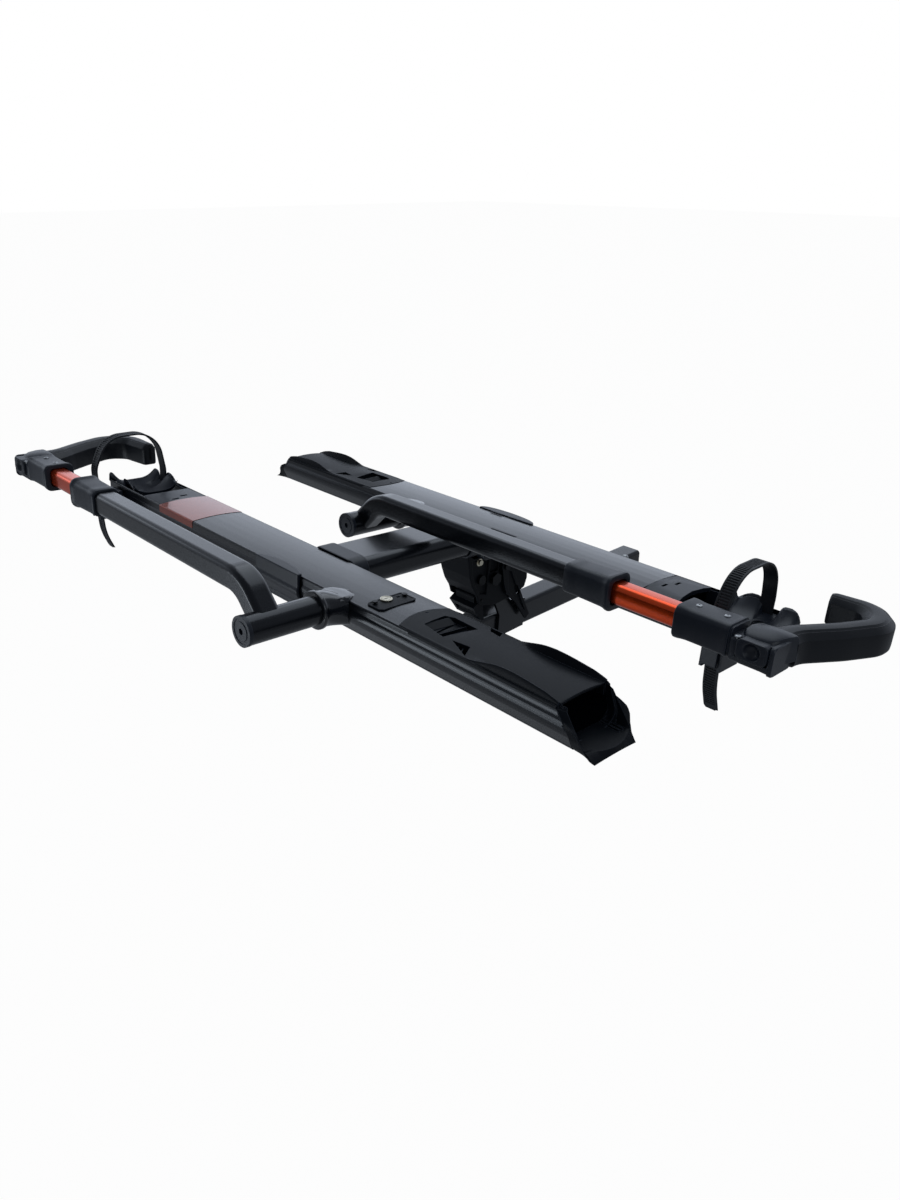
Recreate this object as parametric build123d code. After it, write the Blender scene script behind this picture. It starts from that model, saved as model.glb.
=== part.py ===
from build123d import *
import os
from math import cos, radians, sin, sqrt

# Hitch-mounted carrier for two bicycles, folded flat, as it is carried on a car.
# Millimetres. The finished frame has its origin on the axis of the hitch pin hole,
# X along the wheel trays, +Y into the receiver and towards the car, +Z up.
# The rack is drawn level about its tilt pivot and set on its riding slope at the end.

# Driving dimensions

# hitch tube, for a 2 inch receiver
TUBE_SIZE = 50.8
TUBE_WALL = 4.8
TUBE_CORNER = 7.0
TUBE_AHEAD = 85.0
TUBE_BEHIND = 434.0
PIN_HOLE_R = 8.3

# tilt pivot, seen from the hitch pin hole, and the slope of the trays when riding
PIVOT_Y = -415.0
PIVOT_Z = 113.0
RIDE_SLOPE = 3.9
TILT_UP = 86.0
TILT_DOWN = 20.0

# wheel trays, seen from the tilt pivot
NEAR_TRAY_Y = -400.0
TRAY_SPACING = 395.0
TRAY_Z = 110.0
TRAY_HALF = 50.0
TRAY_DEPTH = 51.7
TRAY_FOOT_HALF = 36.0
TRAY_CROWN = 3.5
TRAY_WALL = 2.6
TRAY_SCOOP_END = 566.0
TRAY_CRADLE_END = 598.0
INSERT_GAP = 0.3

# spine beam
SPINE_HALF = 52.5
SPINE_DEPTH = 48.0
SPINE_WALL = 4.0

# wheel hook arms
ARM_PIVOT_X = 140.0
ARM_PIVOT_Z = -13.0
ARM_Y = -168.5
ARM_Z = 36.0
ARM_TUBE = 38.0
ARM_WALL = 2.6
SLIDE_TUBE = 31.4

# small clearances
RUN = 0.05
SNUG = 0.1
SEAT = 0.3

os.makedirs("parts", exist_ok=True)


# Shared shapes

def bar(x0, x1, y0, y1, z0, z1):
    """A block between two corners."""
    centre = Location(((x0 + x1) / 2, (y0 + y1) / 2, (z0 + z1) / 2))
    return centre * Box(x1 - x0, y1 - y0, z1 - z0)


def soft_bar(x0, x1, y0, y1, z0, z1, radius, axis=Axis.X):
    """A block whose edges along one axis are rounded."""
    block = bar(x0, x1, y0, y1, z0, z1)
    return fillet(block.edges().filter_by(axis), radius)


def along_x(radius, x0, x1, y=0.0, z=0.0):
    """A round bar along X."""
    return Location(((x0 + x1) / 2, y, z), (0, 90, 0)) * Cylinder(radius, x1 - x0)


def along_y(radius, y0, y1, x=0.0, z=0.0):
    """A round bar along Y."""
    return Location((x, (y0 + y1) / 2, z), (90, 0, 0)) * Cylinder(radius, y1 - y0)


def along_z(radius, z0, z1, x=0.0, y=0.0):
    """A round bar along Z."""
    return Location((x, y, (z0 + z1) / 2)) * Cylinder(radius, z1 - z0)


def side_plate(points, x0, x1):
    """A flat plate from its outline in Y and Z, between two X planes."""
    outline = Plane.YZ * make_face(Polyline(*points, close=True))
    return Location((x0, 0, 0)) * extrude(outline, x1 - x0)


def front_plate(points, y0, y1):
    """A solid from its outline in X and Z, between two Y planes."""
    plane = Plane(origin=(0, y0, 0), x_dir=(1, 0, 0), z_dir=(0, -1, 0))
    return extrude(plane * make_face(Polyline(*points, close=True)), -(y1 - y0))


def plan_plate(face, z0, z1):
    """A solid from its outline in X and Y, between two heights."""
    return Location((0, 0, z0)) * extrude(face, z1 - z0)


def ribbon(corners, radii, width):
    """The closed outline of a band of even width along a path with rounded corners."""
    steps = [Vector(*b) - Vector(*a) for a, b in zip(corners, corners[1:])]
    normals = [Vector(-step.Y, step.X).normalized() for step in steps]
    sides = []
    for side in (1, -1):
        shift = side * width / 2
        points = [Vector(*corners[0]) + normals[0] * shift]
        for corner, before, after in zip(corners[1:], normals, normals[1:]):
            points.append(Vector(*corner) + (before + after) * (shift / (1 + before.dot(after))))
        points.append(Vector(*corners[-1]) + normals[-1] * shift)
        turns = [before.cross(after).Z for before, after in zip(normals, normals[1:])]
        bends = [radius - shift * (1 if turn > 0 else -1) for radius, turn in zip(radii, turns)]
        sides.append(FilletPolyline(*points, radius=bends))
    ends = [Line(sides[0] @ 0, sides[1] @ 0), Line(sides[0] @ 1, sides[1] @ 1)]
    return make_face(Wire([*sides[0].edges(), *sides[1].edges(), *[edge.edge() for edge in ends]]))


# Hitch tube with its cross hole, the threaded plug and the bracket plates

half_tube = TUBE_SIZE / 2
tube_bore = TUBE_SIZE - 2 * TUBE_WALL
tube_outside = RectangleRounded(TUBE_SIZE, TUBE_SIZE, TUBE_CORNER)
tube_inside = RectangleRounded(tube_bore, tube_bore, TUBE_CORNER - TUBE_WALL)
tube_section = Plane.XZ * (tube_outside - tube_inside)
hitch_tube = Location((0, TUBE_AHEAD, 0)) * extrude(tube_section, TUBE_AHEAD + TUBE_BEHIND)
hitch_tube -= along_x(PIN_HOLE_R, -TUBE_SIZE, TUBE_SIZE)

# The locking ball comes out of the tube's upper corner near its far end.
BALL_Y = 37.0
BALL_R = 8.0
BALL_OUT = 28.0
CAM_ROD_R = 4.0
CAM_ROD_Z = -14.0
CAM_TRAVEL = 6.0
BALL_TRAVEL = 3.0


def corner_place(distance, y):
    """A place on the tube's upper +X corner diagonal, with local Z pointing out."""
    step = distance / sqrt(2)
    return Location((step, y, step), (0, 45, 0))


hitch_tube -= corner_place(BALL_OUT, BALL_Y) * Cylinder(BALL_R + SEAT, 4 * BALL_R)
PLUG_LENGTH = 20.0
tube_plug = Location((0, -TUBE_BEHIND, 0)) * extrude(
    Plane.XZ * RectangleRounded(tube_bore, tube_bore, TUBE_CORNER - TUBE_WALL), -PLUG_LENGTH
)
tube_plug -= along_y(CAM_ROD_R + RUN, -TUBE_BEHIND - 1, -TUBE_BEHIND + PLUG_LENGTH + 1, 0, CAM_ROD_Z)

# Knob, rod, wedge and ball that take up the play in the receiver
KNOB_R = 21.0
KNOB_LENGTH = 26.0
knob_back = -TUBE_BEHIND - 1.0
cam_knob = along_y(KNOB_R - 4, knob_back - KNOB_LENGTH, knob_back, 0, CAM_ROD_Z)
for lobe in range(5):
    spot = Location((0, 0, CAM_ROD_Z)) * Location((0, 0, 0), (0, 72 * lobe, 0))
    cam_knob += spot * along_y(7, knob_back - KNOB_LENGTH, knob_back - 6, KNOB_R - 7, 0)
rod_end = BALL_Y + 14.0
cam_rod = along_y(CAM_ROD_R, knob_back - KNOB_LENGTH + 6, rod_end, 0, CAM_ROD_Z)
cam_knob -= along_y(CAM_ROD_R, knob_back - KNOB_LENGTH + 6, knob_back + 1, 0, CAM_ROD_Z)

wedge_half = tube_bore / 2 - SEAT
wedge_y0 = BALL_Y - 17.0
wedge_y1 = BALL_Y + 19.0
cam_wedge = bar(-wedge_half, wedge_half, wedge_y0, wedge_y1, -wedge_half, wedge_half)
cam_wedge = fillet(cam_wedge.edges().filter_by(Axis.Y), TUBE_CORNER - TUBE_WALL)
ramp_angle = 26.565
ramp_place = Location((0, BALL_Y, 0), (0, 45, 0)) * Location((0, 0, BALL_OUT - BALL_R * 1.118 - SEAT))
ramp = ramp_place * Location((0, 0, 0), (ramp_angle, 0, 0)) * Location((0, 0, 40)) * Box(120, 120, 80)
cam_wedge -= ramp
cam_wedge -= along_y(CAM_ROD_R + RUN, wedge_y0 - 1, wedge_y1 + 1, 0, CAM_ROD_Z)
cam_ball = corner_place(BALL_OUT, BALL_Y) * Sphere(BALL_R)

# Tilt pivot. From here on things are drawn about the pivot, with the trays level.

PLATE_IN = half_tube
PLATE_OUT = PLATE_IN + 6.0
HEAD_R = 44.0
PIVOT_R = 8.0
HOUSING_IN = PLATE_OUT + 1.6
HOUSING_OUT = HOUSING_IN + 6.0
LATCH_Y = -32.0
LATCH_Z = 3.0
LATCH_R = 6.0
latch_reach = sqrt(LATCH_Y ** 2 + LATCH_Z ** 2)


def from_hitch(y, z):
    """A point of the level hitch tube, seen from the pivot in the sloped rack frame."""
    dy, dz = y - PIVOT_Y, z - PIVOT_Z
    turn = radians(RIDE_SLOPE)
    return (dy * cos(turn) - dz * sin(turn), dy * sin(turn) + dz * cos(turn))


FOOT_FRONT = 32.0
FOOT_REAR = 105.0
NECK_REAR = HEAD_R
plate_low = from_hitch(PIVOT_Y, -half_tube + 3)[1]
plate_points = [
    (5.0, -36.0), (FOOT_FRONT, -88.0), (FOOT_FRONT, plate_low), (FOOT_REAR, plate_low + 7),
    (FOOT_REAR, -68.0), (NECK_REAR + 18, -62.0), (NECK_REAR, -48.0), (NECK_REAR, 0.0),
]
rest_angle = 180 - 5.36
slot_from = rest_angle - TILT_UP - 2
slot_sweep = TILT_UP + TILT_DOWN + 4


def bracket_plate(x0, x1):
    """One tall plate with the pivot hole and the arc slot that the latch pin rides in."""
    plate = side_plate(plate_points, x0, x1) + along_x(HEAD_R, x0, x1)
    plate -= along_x(PIVOT_R + RUN, x0 - 1, x1 + 1)
    slot = Plane.YZ * SlotArc(CenterArc((0, 0), latch_reach, slot_from, slot_sweep), 2 * (LATCH_R + 0.5))
    return plate - Location((x0 - 1, 0, 0)) * extrude(slot, x1 - x0 + 2)


bracket_plates = Compound(children=[
    bracket_plate(-PLATE_OUT, -PLATE_IN), bracket_plate(PLATE_IN, PLATE_OUT),
])

# Trays and how they are placed

FAR_TRAY_Y = NEAR_TRAY_Y + TRAY_SPACING
near_place = Location((0, NEAR_TRAY_Y, TRAY_Z))
far_place = Location((0, FAR_TRAY_Y, TRAY_Z))


def tray_outline(grow):
    """The tray's closed outline in Y and Z, grown all round by a distance."""
    half, foot, low = TRAY_HALF + grow, TRAY_FOOT_HALF + 0.6 * grow, -TRAY_DEPTH - grow
    top, rim = TRAY_CROWN + grow, 0.9 + grow
    edges = [ThreePointArc((-half + 3, rim), (0, top), (half - 3, rim))]
    edges += [Line((-foot, low), (foot, low))]
    for side in (-1, 1):
        edges += [
            ThreePointArc((side * (half - 3), rim), (side * (half - 0.8), rim - 1), (side * half, rim - 3)),
            Line((side * half, rim - 3), (side * half, -11 - grow)),
            ThreePointArc(
                (side * half, -11 - grow), (side * (half + 2), -21 - grow / 2), (side * half, -31),
            ),
            Line((side * half, -31), (side * (half - 8), -46)),
            ThreePointArc((side * (half - 8), -46), (side * (half - 10), low + 2), (side * foot, low)),
        ]
    return Plane.YZ * make_face(Wire(edges))


def tray_bar(grow, x0, x1):
    """The tray's outline drawn out along X."""
    return Location((x0, 0, 0)) * extrude(tray_outline(grow), x1 - x0)


SCOOP_X = 262.0
SCOOP_EDGE_X = 274.0
CRADLE_X = -396.0
insert_half = TRAY_HALF - TRAY_WALL - INSERT_GAP


def scoop_plan(gap, x1):
    """The scoop's outline in plan, with its bowed edge across the tray."""
    half = TRAY_HALF - TRAY_WALL - gap
    bow = ThreePointArc((SCOOP_EDGE_X + gap, half), (SCOOP_X + gap, 0), (SCOOP_EDGE_X + gap, -half))
    rest = Polyline((SCOOP_EDGE_X + gap, -half), (x1, -half), (x1, half), (SCOOP_EDGE_X + gap, half))
    return make_face(Wire([*bow.edges(), *rest.edges()]))


def slant_cut(x_top, x_low, z_turn):
    """What is cut away beyond the slanted scoop end of a tray."""
    beyond = x_low + 99
    return side_cut([(x_top, 20), (x_top, -4), (x_low, z_turn), (x_low, -80), (beyond, -80), (beyond, 20)])


def side_cut(points):
    """A block right across the tray from an outline in X and Z."""
    return front_plate(points, -70, 70)


NEAR_BOLT_X = 34.0
FAR_BOLT_X = 15.0
SADDLE_BOLT_Y = 22.0
SADDLE_BOLT_R = 4.0
SHAFT_R = 12.0
STUD_R = 8.0
TRAY_SLANT = 11.0


def bolt_spots(bolt_x):
    """Where the four bolts of a saddle stand, seen from the tray's centre."""
    return [(x, y) for x in (-bolt_x, bolt_x) for y in (-SADDLE_BOLT_Y, SADDLE_BOLT_Y)]


def make_tray(bolt_x):
    tray = tray_bar(0, -TRAY_CRADLE_END, TRAY_SCOOP_END + TRAY_SLANT)
    tray -= tray_bar(-TRAY_WALL, -TRAY_CRADLE_END - 1, TRAY_SCOOP_END + TRAY_SLANT + 1)
    tray -= slant_cut(TRAY_SCOOP_END, TRAY_SCOOP_END + TRAY_SLANT, -29)
    tray -= plan_plate(scoop_plan(0, TRAY_SCOOP_END + 20), -9, 20)
    tray -= bar(-TRAY_CRADLE_END - 1, CRADLE_X, -insert_half - INSERT_GAP, insert_half + INSERT_GAP, -9, 20)
    tray -= along_y(STUD_R + RUN, -TRAY_HALF - 5, -TRAY_HALF + 12, ARM_PIVOT_X, ARM_PIVOT_Z)
    for x, y in bolt_spots(bolt_x):
        tray -= along_z(SADDLE_BOLT_R + SEAT, -TRAY_DEPTH - 1, -TRAY_DEPTH + 6, x, y)
    return tray


# Scoop for the front wheel, a plastic insert that also caps the tray's end

SCOOP_END = 614.0
SCOOP_FLOOR = -44.0
DECK_END = 555.0
TUNNEL_X = 470.0
cheek_top = [
    (258, -2), (356, -5), (393, -6), (428, 5), (462, 11), (534, 10), (557, 7), (574, -12), (602, -40),
    (SCOOP_END, -49),
]
scoop_low = -TRAY_DEPTH + TRAY_WALL + SEAT


def make_scoop():
    deck = plan_plate(scoop_plan(INSERT_GAP, TRAY_SCOOP_END - 2), -16, 4)
    deck &= tray_bar(-0.2, SCOOP_X - 5, TRAY_SCOOP_END)
    deck &= side_cut([(SCOOP_X - 5, -15), (SCOOP_X - 5, 20), (DECK_END, 20), (DECK_END, -15)])
    inner_wall = insert_half - 4.0
    cheek_face = [*cheek_top, (SCOOP_END, -52), (TUNNEL_X, -52), (TUNNEL_X, -15), (258, -15)]
    cheeks = side_cut(cheek_face) & plan_plate(scoop_plan(INSERT_GAP, SCOOP_END), -60, 30)
    cheeks &= bar(SCOOP_X, SCOOP_END, -insert_half, insert_half, scoop_low, 30)
    lower = tray_bar(-TRAY_WALL - INSERT_GAP, TUNNEL_X, SCOOP_END) + bar(
        SCOOP_X, SCOOP_END, -insert_half, insert_half, -16, 30)
    cheeks &= lower
    cheeks -= bar(SCOOP_X - 9, SCOOP_END + 9, -inner_wall, inner_wall, SCOOP_FLOOR, 30)
    nose_face = [(x, z) for x, z in cheek_top if x > 560]
    nose_face = [(TRAY_SCOOP_END - 4, 1), *nose_face, (SCOOP_END, -53), (TRAY_SCOOP_END - 4, -53)]
    nose = side_cut(nose_face) & tray_bar(0.4, TRAY_SCOOP_END - 6, SCOOP_END)
    nose -= side_cut([
        (TRAY_SCOOP_END - 20, 30), (TRAY_SCOOP_END + SEAT, 30), (TRAY_SCOOP_END + SEAT, -4),
        (TRAY_SCOOP_END + TRAY_SLANT + SEAT, -29), (TRAY_SCOOP_END + TRAY_SLANT + SEAT, -80),
        (TRAY_SCOOP_END - 20, -80),
    ])
    nose -= bar(TRAY_SCOOP_END - 9, SCOOP_END + 9, -inner_wall, inner_wall, SCOOP_FLOOR, 30)
    scoop = deck + cheeks + nose
    for row in (-24, 0, 24):
        scoop += bar(TUNNEL_X + 20, SCOOP_END - 3, row - 1.2, row + 1.2, SCOOP_FLOOR - 1, SCOOP_FLOOR + 3)
    first_pocket = make_face(Polyline((296, -22), (296, 26), (352, 28), (344, 2), (330, -25), close=True))
    second_points = [(356, -25), (391, -43), (400, -36), (397, -19), (372, -18)]
    second_pocket = make_face(Polyline(*second_points, close=True))
    scoop -= plan_plate(first_pocket, -12, 20) + plan_plate(second_pocket, -12, 20)
    scoop -= bar(369, 382, 34, 50, -6, 20)
    for x in (308, 322):
        scoop += bar(x, x + 3, -25, 30, -13, -2) & plan_plate(first_pocket, -13, 0)
    return scoop - along_z(2.6, -16, 20, *scoop_screw)


scoop_screw = (271.0, 7.0)

# Cradle for the rear wheel, with ears at both sides and a valley for the strap

CRADLE_END = 609.0
STRAP_X = -557.0
STRAP_WIDTH = 23.0
STRAP_THICK = 3.2
valley = STRAP_WIDTH / 2 + 1.0
WELL_FLOOR = -22.0
CRADLE_LOW = -30.0


def make_cradle():
    base = side_cut([
        (CRADLE_X - SEAT, 2.6), (-440, 2.6), (-482, WELL_FLOOR), (-592, WELL_FLOOR), (-CRADLE_END, -14),
        (-CRADLE_END, CRADLE_LOW), (CRADLE_X - SEAT, CRADLE_LOW),
    ])
    base -= side_cut([(CRADLE_X + 1, -8), (-434, -8), (-462, -26), (-462, -40), (CRADLE_X + 1, -40)])
    base &= bar(-CRADLE_END, CRADLE_X - SEAT, -insert_half, insert_half, CRADLE_LOW, 30)
    ears = side_cut([
        (-452, -10), (-486, -4), (-510, 9), (-543, 9), (STRAP_X + valley, -2), (STRAP_X + valley, -12),
        (STRAP_X - valley, -12), (STRAP_X - valley, 0), (-574, 6), (-CRADLE_END, 6),
        (-CRADLE_END, CRADLE_LOW), (-470, CRADLE_LOW),
    ])
    ears &= bar(-CRADLE_END, -450, -insert_half, insert_half, CRADLE_LOW, 30)
    ears -= bar(-CRADLE_END - 1, -400, -36, 36, WELL_FLOOR, 30)
    cap = tray_bar(0.4, -CRADLE_END, -TRAY_CRADLE_END - SEAT) & bar(-620, -590, -60, 60, -60, 1)
    cap -= bar(-620, -590, -36, 36, WELL_FLOOR, 30)
    cradle = base + ears + cap
    for x, y in ((-411, -9), (-421, 13)):
        cradle -= Location((x, y, 0)) * Box(5, 14, 40)
    cradle -= strap_run(STRAP_THICK + 2 * SEAT, STRAP_WIDTH + 1)
    return cradle


strap_corners = [
    (42.4, -17), (43, 22), (25, 66), (-30, 106), (-84, 92), (-96, 40), (-95, -30), (-84, -96), (-62, -137),
]
strap_radii = [45, 45, 50, 30, 40, 160, 110]


def strap_run(thick, width):
    """The strap from its anchor over the wheel's place, through the buckle, to its loose end."""
    face = Plane.YZ * ribbon(strap_corners, strap_radii, thick)
    return Location((STRAP_X - width / 2, 0, 0)) * extrude(face, width)


BUCKLE_HALF = 17.0
BUCKLE_TOP = -8.0
BUCKLE_LOW = -58.0
BUCKLE_OUT = -101.0
LEVER_PIN = (-102.0, -18.0)
LEVER_PIN_R = 2.0
LEVER_HALF = STRAP_WIDTH / 2 + 0.2
lever_points = [
    (-106, -18), (-103, -14.2), (-101, -14.2), (-99.6, -18), (-99.6, -40), (-104, -52), (-107, -50),
]


def make_buckle():
    x0, x1 = STRAP_X - BUCKLE_HALF, STRAP_X + BUCKLE_HALF
    slot_half = STRAP_WIDTH / 2 + 0.7
    body = bar(x0, x1, BUCKLE_OUT, -TRAY_HALF - 2 - SEAT, BUCKLE_LOW, BUCKLE_TOP)
    body -= bar(x0 + 5, x1 - 5, -84, -TRAY_HALF - 8, BUCKLE_LOW - 1, BUCKLE_TOP - 6)
    body -= bar(STRAP_X - slot_half, STRAP_X + slot_half, -104, -86.5, BUCKLE_LOW - 1, BUCKLE_TOP + 1)
    body += along_x(LEVER_PIN_R, x0, x1, *LEVER_PIN)
    for side in (-1, 1):
        cheek = bar(-2.3, 2.3, -106, -97, -26, -10)
        body += Location((STRAP_X + side * (BUCKLE_HALF - 2.4), 0, 0)) * cheek
    return body


def make_buckle_lever():
    x0, x1 = STRAP_X - LEVER_HALF, STRAP_X + LEVER_HALF
    lever = along_x(LEVER_PIN_R + 2, x0, x1, *LEVER_PIN) + side_plate(lever_points, x0, x1)
    return lever - along_x(LEVER_PIN_R + RUN, x0 - 1, x1 + 1, *LEVER_PIN)


# Wheel hook arm. It is drawn on the near tray and lies along -X.

BOSS_R = 27.0
BOSS_OUT = -84.0
FLARE_R = 32.0
FLARE_Y = -58.0
COLLAR_OUT = -92.0
PIVOT_TUBE_R = 22.0
PIVOT_TUBE_END = -205.0
CAP_END = -211.0
ARM_BEND = 60.0
ARM_END_X = -402.0
COLLAR_X0 = -434.0
COLLAR_X1 = -350.0
HEAD_X0 = -690.0
HEAD_X1 = -541.0
SLIDE_GAP = 0.4
arm_inside = ARM_TUBE - 2 * ARM_WALL
elbow_x = ARM_PIVOT_X - (ARM_Z - ARM_PIVOT_Z)


def make_boss():
    boss = along_y(BOSS_R, BOSS_OUT, -TRAY_HALF + 6, ARM_PIVOT_X, ARM_PIVOT_Z)
    boss += along_y(BOSS_R + 2, COLLAR_OUT, BOSS_OUT, ARM_PIVOT_X, ARM_PIVOT_Z)
    flare = Cone(FLARE_R, BOSS_R, FLARE_Y - BOSS_OUT)
    boss += Location((ARM_PIVOT_X, (FLARE_Y + BOSS_OUT) / 2, ARM_PIVOT_Z), (90, 0, 0)) * flare
    foot = soft_bar(ARM_PIVOT_X - 34, ARM_PIVOT_X + 34, -TRAY_HALF - 9, -TRAY_HALF + 6, -44, 3, 12, Axis.Y)
    leaf_points = [(-24, -58), (-17, -40), (8, -28), (22, -42), (24, -58)]
    leaf = plan_plate(make_face(Polyline(*leaf_points, close=True)), -6, TRAY_CROWN + 3)
    leaf = Location((ARM_PIVOT_X, 0, 0)) * leaf
    boss += foot + leaf
    boss -= tray_bar(SEAT, ARM_PIVOT_X - 60, ARM_PIVOT_X + 60)
    return boss - along_y(SHAFT_R + RUN, COLLAR_OUT - 1, 0, ARM_PIVOT_X, ARM_PIVOT_Z)


def make_pivot_shaft():
    shaft = along_y(SHAFT_R, PIVOT_TUBE_END + 6, -TRAY_HALF - 2 - SEAT, ARM_PIVOT_X, ARM_PIVOT_Z)
    stud = along_y(STUD_R, -TRAY_HALF - 3, -TRAY_HALF + 14, ARM_PIVOT_X, ARM_PIVOT_Z)
    nut_y = -TRAY_HALF + TRAY_WALL + SEAT
    nut_plane = Plane(origin=(ARM_PIVOT_X, nut_y, ARM_PIVOT_Z), x_dir=(1, 0, 0), z_dir=(0, 1, 0))
    nut = nut_plane * RegularPolygon(STUD_R + 2, 6)
    return shaft + stud + extrude(nut, 7)


def make_arm():
    path = FilletPolyline((ARM_END_X, ARM_Z), (elbow_x, ARM_Z), (ARM_PIVOT_X, ARM_PIVOT_Z), radius=ARM_BEND)
    path = Plane(origin=(0, ARM_Y, 0), x_dir=(1, 0, 0), z_dir=(0, -1, 0)) * path
    section = Plane(origin=(ARM_END_X, ARM_Y, ARM_Z), x_dir=(0, 1, 0), z_dir=(1, 0, 0))
    arm = sweep(section * RectangleRounded(ARM_TUBE, ARM_TUBE, 9), path=path.wire())
    arm += along_y(PIVOT_TUBE_R, PIVOT_TUBE_END, COLLAR_OUT - SEAT, ARM_PIVOT_X, ARM_PIVOT_Z)
    inner = arm_inside / 2
    y0, y1 = ARM_Y - inner, ARM_Y + inner
    arm -= soft_bar(ARM_END_X - 1, elbow_x - 30, y0, y1, ARM_Z - inner, ARM_Z + inner, 6)
    arm -= along_y(SHAFT_R + RUN, PIVOT_TUBE_END - 1, 0, ARM_PIVOT_X, ARM_PIVOT_Z)
    return arm


def make_end_cap():
    cap = along_y(PIVOT_TUBE_R + 0.5, CAP_END, PIVOT_TUBE_END, ARM_PIVOT_X, ARM_PIVOT_Z)
    cap -= along_y(PIVOT_TUBE_R - 4, CAP_END - 1, CAP_END + 1, ARM_PIVOT_X, ARM_PIVOT_Z)
    cap += along_y(PIVOT_TUBE_R - 8, CAP_END, CAP_END + 2, ARM_PIVOT_X, ARM_PIVOT_Z)
    cap += along_y(SHAFT_R - RUN, PIVOT_TUBE_END - 1, PIVOT_TUBE_END + 5.5, ARM_PIVOT_X, ARM_PIVOT_Z)
    socket = Plane(origin=(ARM_PIVOT_X, CAP_END - 1, ARM_PIVOT_Z), z_dir=(0, 1, 0)) * RegularPolygon(5, 6)
    return cap - extrude(socket, 5)


def square_sleeve(x0, x1, outer, inner, radius):
    """A square sleeve about the arm's line."""
    half, hole = outer / 2, inner / 2
    sleeve = soft_bar(x0, x1, ARM_Y - half, ARM_Y + half, ARM_Z - half, ARM_Z + half, radius)
    return sleeve - soft_bar(x0 - 1, x1 + 1, ARM_Y - hole, ARM_Y + hole, ARM_Z - hole, ARM_Z + hole, 6)


def make_collar():
    over_arm = square_sleeve(ARM_END_X, COLLAR_X1, ARM_TUBE + 8, ARM_TUBE + 2 * RUN, 13)
    over_arm -= bar(ARM_END_X - 1, ARM_END_X, -300, 0, 0, 90)
    guide = square_sleeve(COLLAR_X0 + 8, ARM_END_X - SEAT, ARM_TUBE + 8, SLIDE_TUBE + 2 * SLIDE_GAP, 13)
    link = square_sleeve(ARM_END_X - SEAT, ARM_END_X, ARM_TUBE + 8, ARM_TUBE + 2 * RUN, 13)
    lip = square_sleeve(COLLAR_X0, COLLAR_X0 + 8, ARM_TUBE + 14, SLIDE_TUBE + 2 * SLIDE_GAP, 16)
    return over_arm + link + guide + lip


def make_slide_tube():
    return square_sleeve(HEAD_X1 - 64, HEAD_X1 + 385, SLIDE_TUBE, SLIDE_TUBE - 2 * ARM_WALL, 8.5)


def make_hook_head():
    half = 25.0
    head = soft_bar(HEAD_X0 + 8, HEAD_X1 - 14, ARM_Y - half, ARM_Y + half, 14, 58, 10)
    head += soft_bar(HEAD_X1 - 14, HEAD_X1, ARM_Y - half - 1.5, ARM_Y + half + 1.5, 12, 60, 12)
    slide_half = SLIDE_TUBE / 2 + RUN
    head -= soft_bar(HEAD_X1 - 64.3, HEAD_X1 + 1, ARM_Y - slide_half, ARM_Y + slide_half,
                     ARM_Z - slide_half, ARM_Z + slide_half, 8.5)
    head += soft_bar(HEAD_X0, HEAD_X0 + 20, ARM_Y - half - 1, ARM_Y + half + 3, 10, 58, 10)
    head -= trigger_shape(SEAT, TRIGGER_TRAVEL + SEAT)
    head -= hook_run(CORE_WIDTH + 2 * RUN, CORE_Z0 - RUN, CORE_Z1 + RUN)
    for x in head_screw_spots:
        head -= along_z(HEAD_SCREW_R + RUN, 52.5, 61, x, ARM_Y)
    return head


TRIGGER_TRAVEL = 4.0
TRIGGER_X0 = HEAD_X0 + 10.0
TRIGGER_X1 = HEAD_X0 + 54.0
CORE_WIDTH = 30.0
CORE_Z0 = 16.0
CORE_Z1 = 48.0
PAD_WIDTH = 42.0
PAD_Z0 = 9.0
PAD_Z1 = 55.0
HEAD_SCREW_R = 2.0
head_screw_spots = [HEAD_X1 - back for back in (25, 49, 73)]


def trigger_shape(gap, deeper):
    """The trigger's block, or with a gap and depth its pocket."""
    y0, y1 = ARM_Y - 30, ARM_Y - 12 + deeper
    z0, z1 = ARM_Z - 14 - gap, ARM_Z + 14 + gap
    return soft_bar(TRIGGER_X0 - gap, TRIGGER_X1 + gap, y0, y1, z0, z1, 8, Axis.Y)


def make_trigger():
    thumb = Location(((TRIGGER_X0 + TRIGGER_X1) / 2, ARM_Y - 33, ARM_Z)) * Sphere(12)
    return trigger_shape(0, 0) - thumb


hook_corners = [
    (HEAD_X0 + x, y) for x, y in ((22, ARM_Y - 3.5), (18, -120), (-16, -62), (-44, -12), (-26, 34), (42, 30))
]
hook_radii = [70, 200, 48, 32]


def hook_run(width, z0, z1):
    """The hook's bent bar in plan, between two heights."""
    bent = plan_plate(ribbon(hook_corners, hook_radii, width), z0, z1)
    return bent + along_z(width / 2, z0, z1, *hook_corners[-1])


def make_hook_core():
    return hook_run(CORE_WIDTH, CORE_Z0, CORE_Z1)


def make_hook_pad():
    pad = hook_run(PAD_WIDTH, PAD_Z0, PAD_Z1) - bar(HEAD_X0 - 70, HEAD_X1, -300, ARM_Y + 29, 0, 90)
    return pad - hook_run(CORE_WIDTH + 2 * RUN, CORE_Z0 - RUN, CORE_Z1 + RUN)


def make_hook_screws():
    return Compound(children=[
        along_z(HEAD_SCREW_R, 53, 59, x, ARM_Y) + along_z(2 * HEAD_SCREW_R, 58 + RUN, 60.5, x, ARM_Y)
        for x in head_screw_spots
    ])


# Lock plate on the near tray and the coloured band behind its middle

PLATE_TOP = 6.0
LOCK_SPOT = (202.0, -9.0)
LOCK_R = 7.0
PLATE_SCREW_R = 2.0
plate_screw_spots = [(202.0, -30.0), (206.0, 22.0)]
BAND_THICK = 0.5


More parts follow.
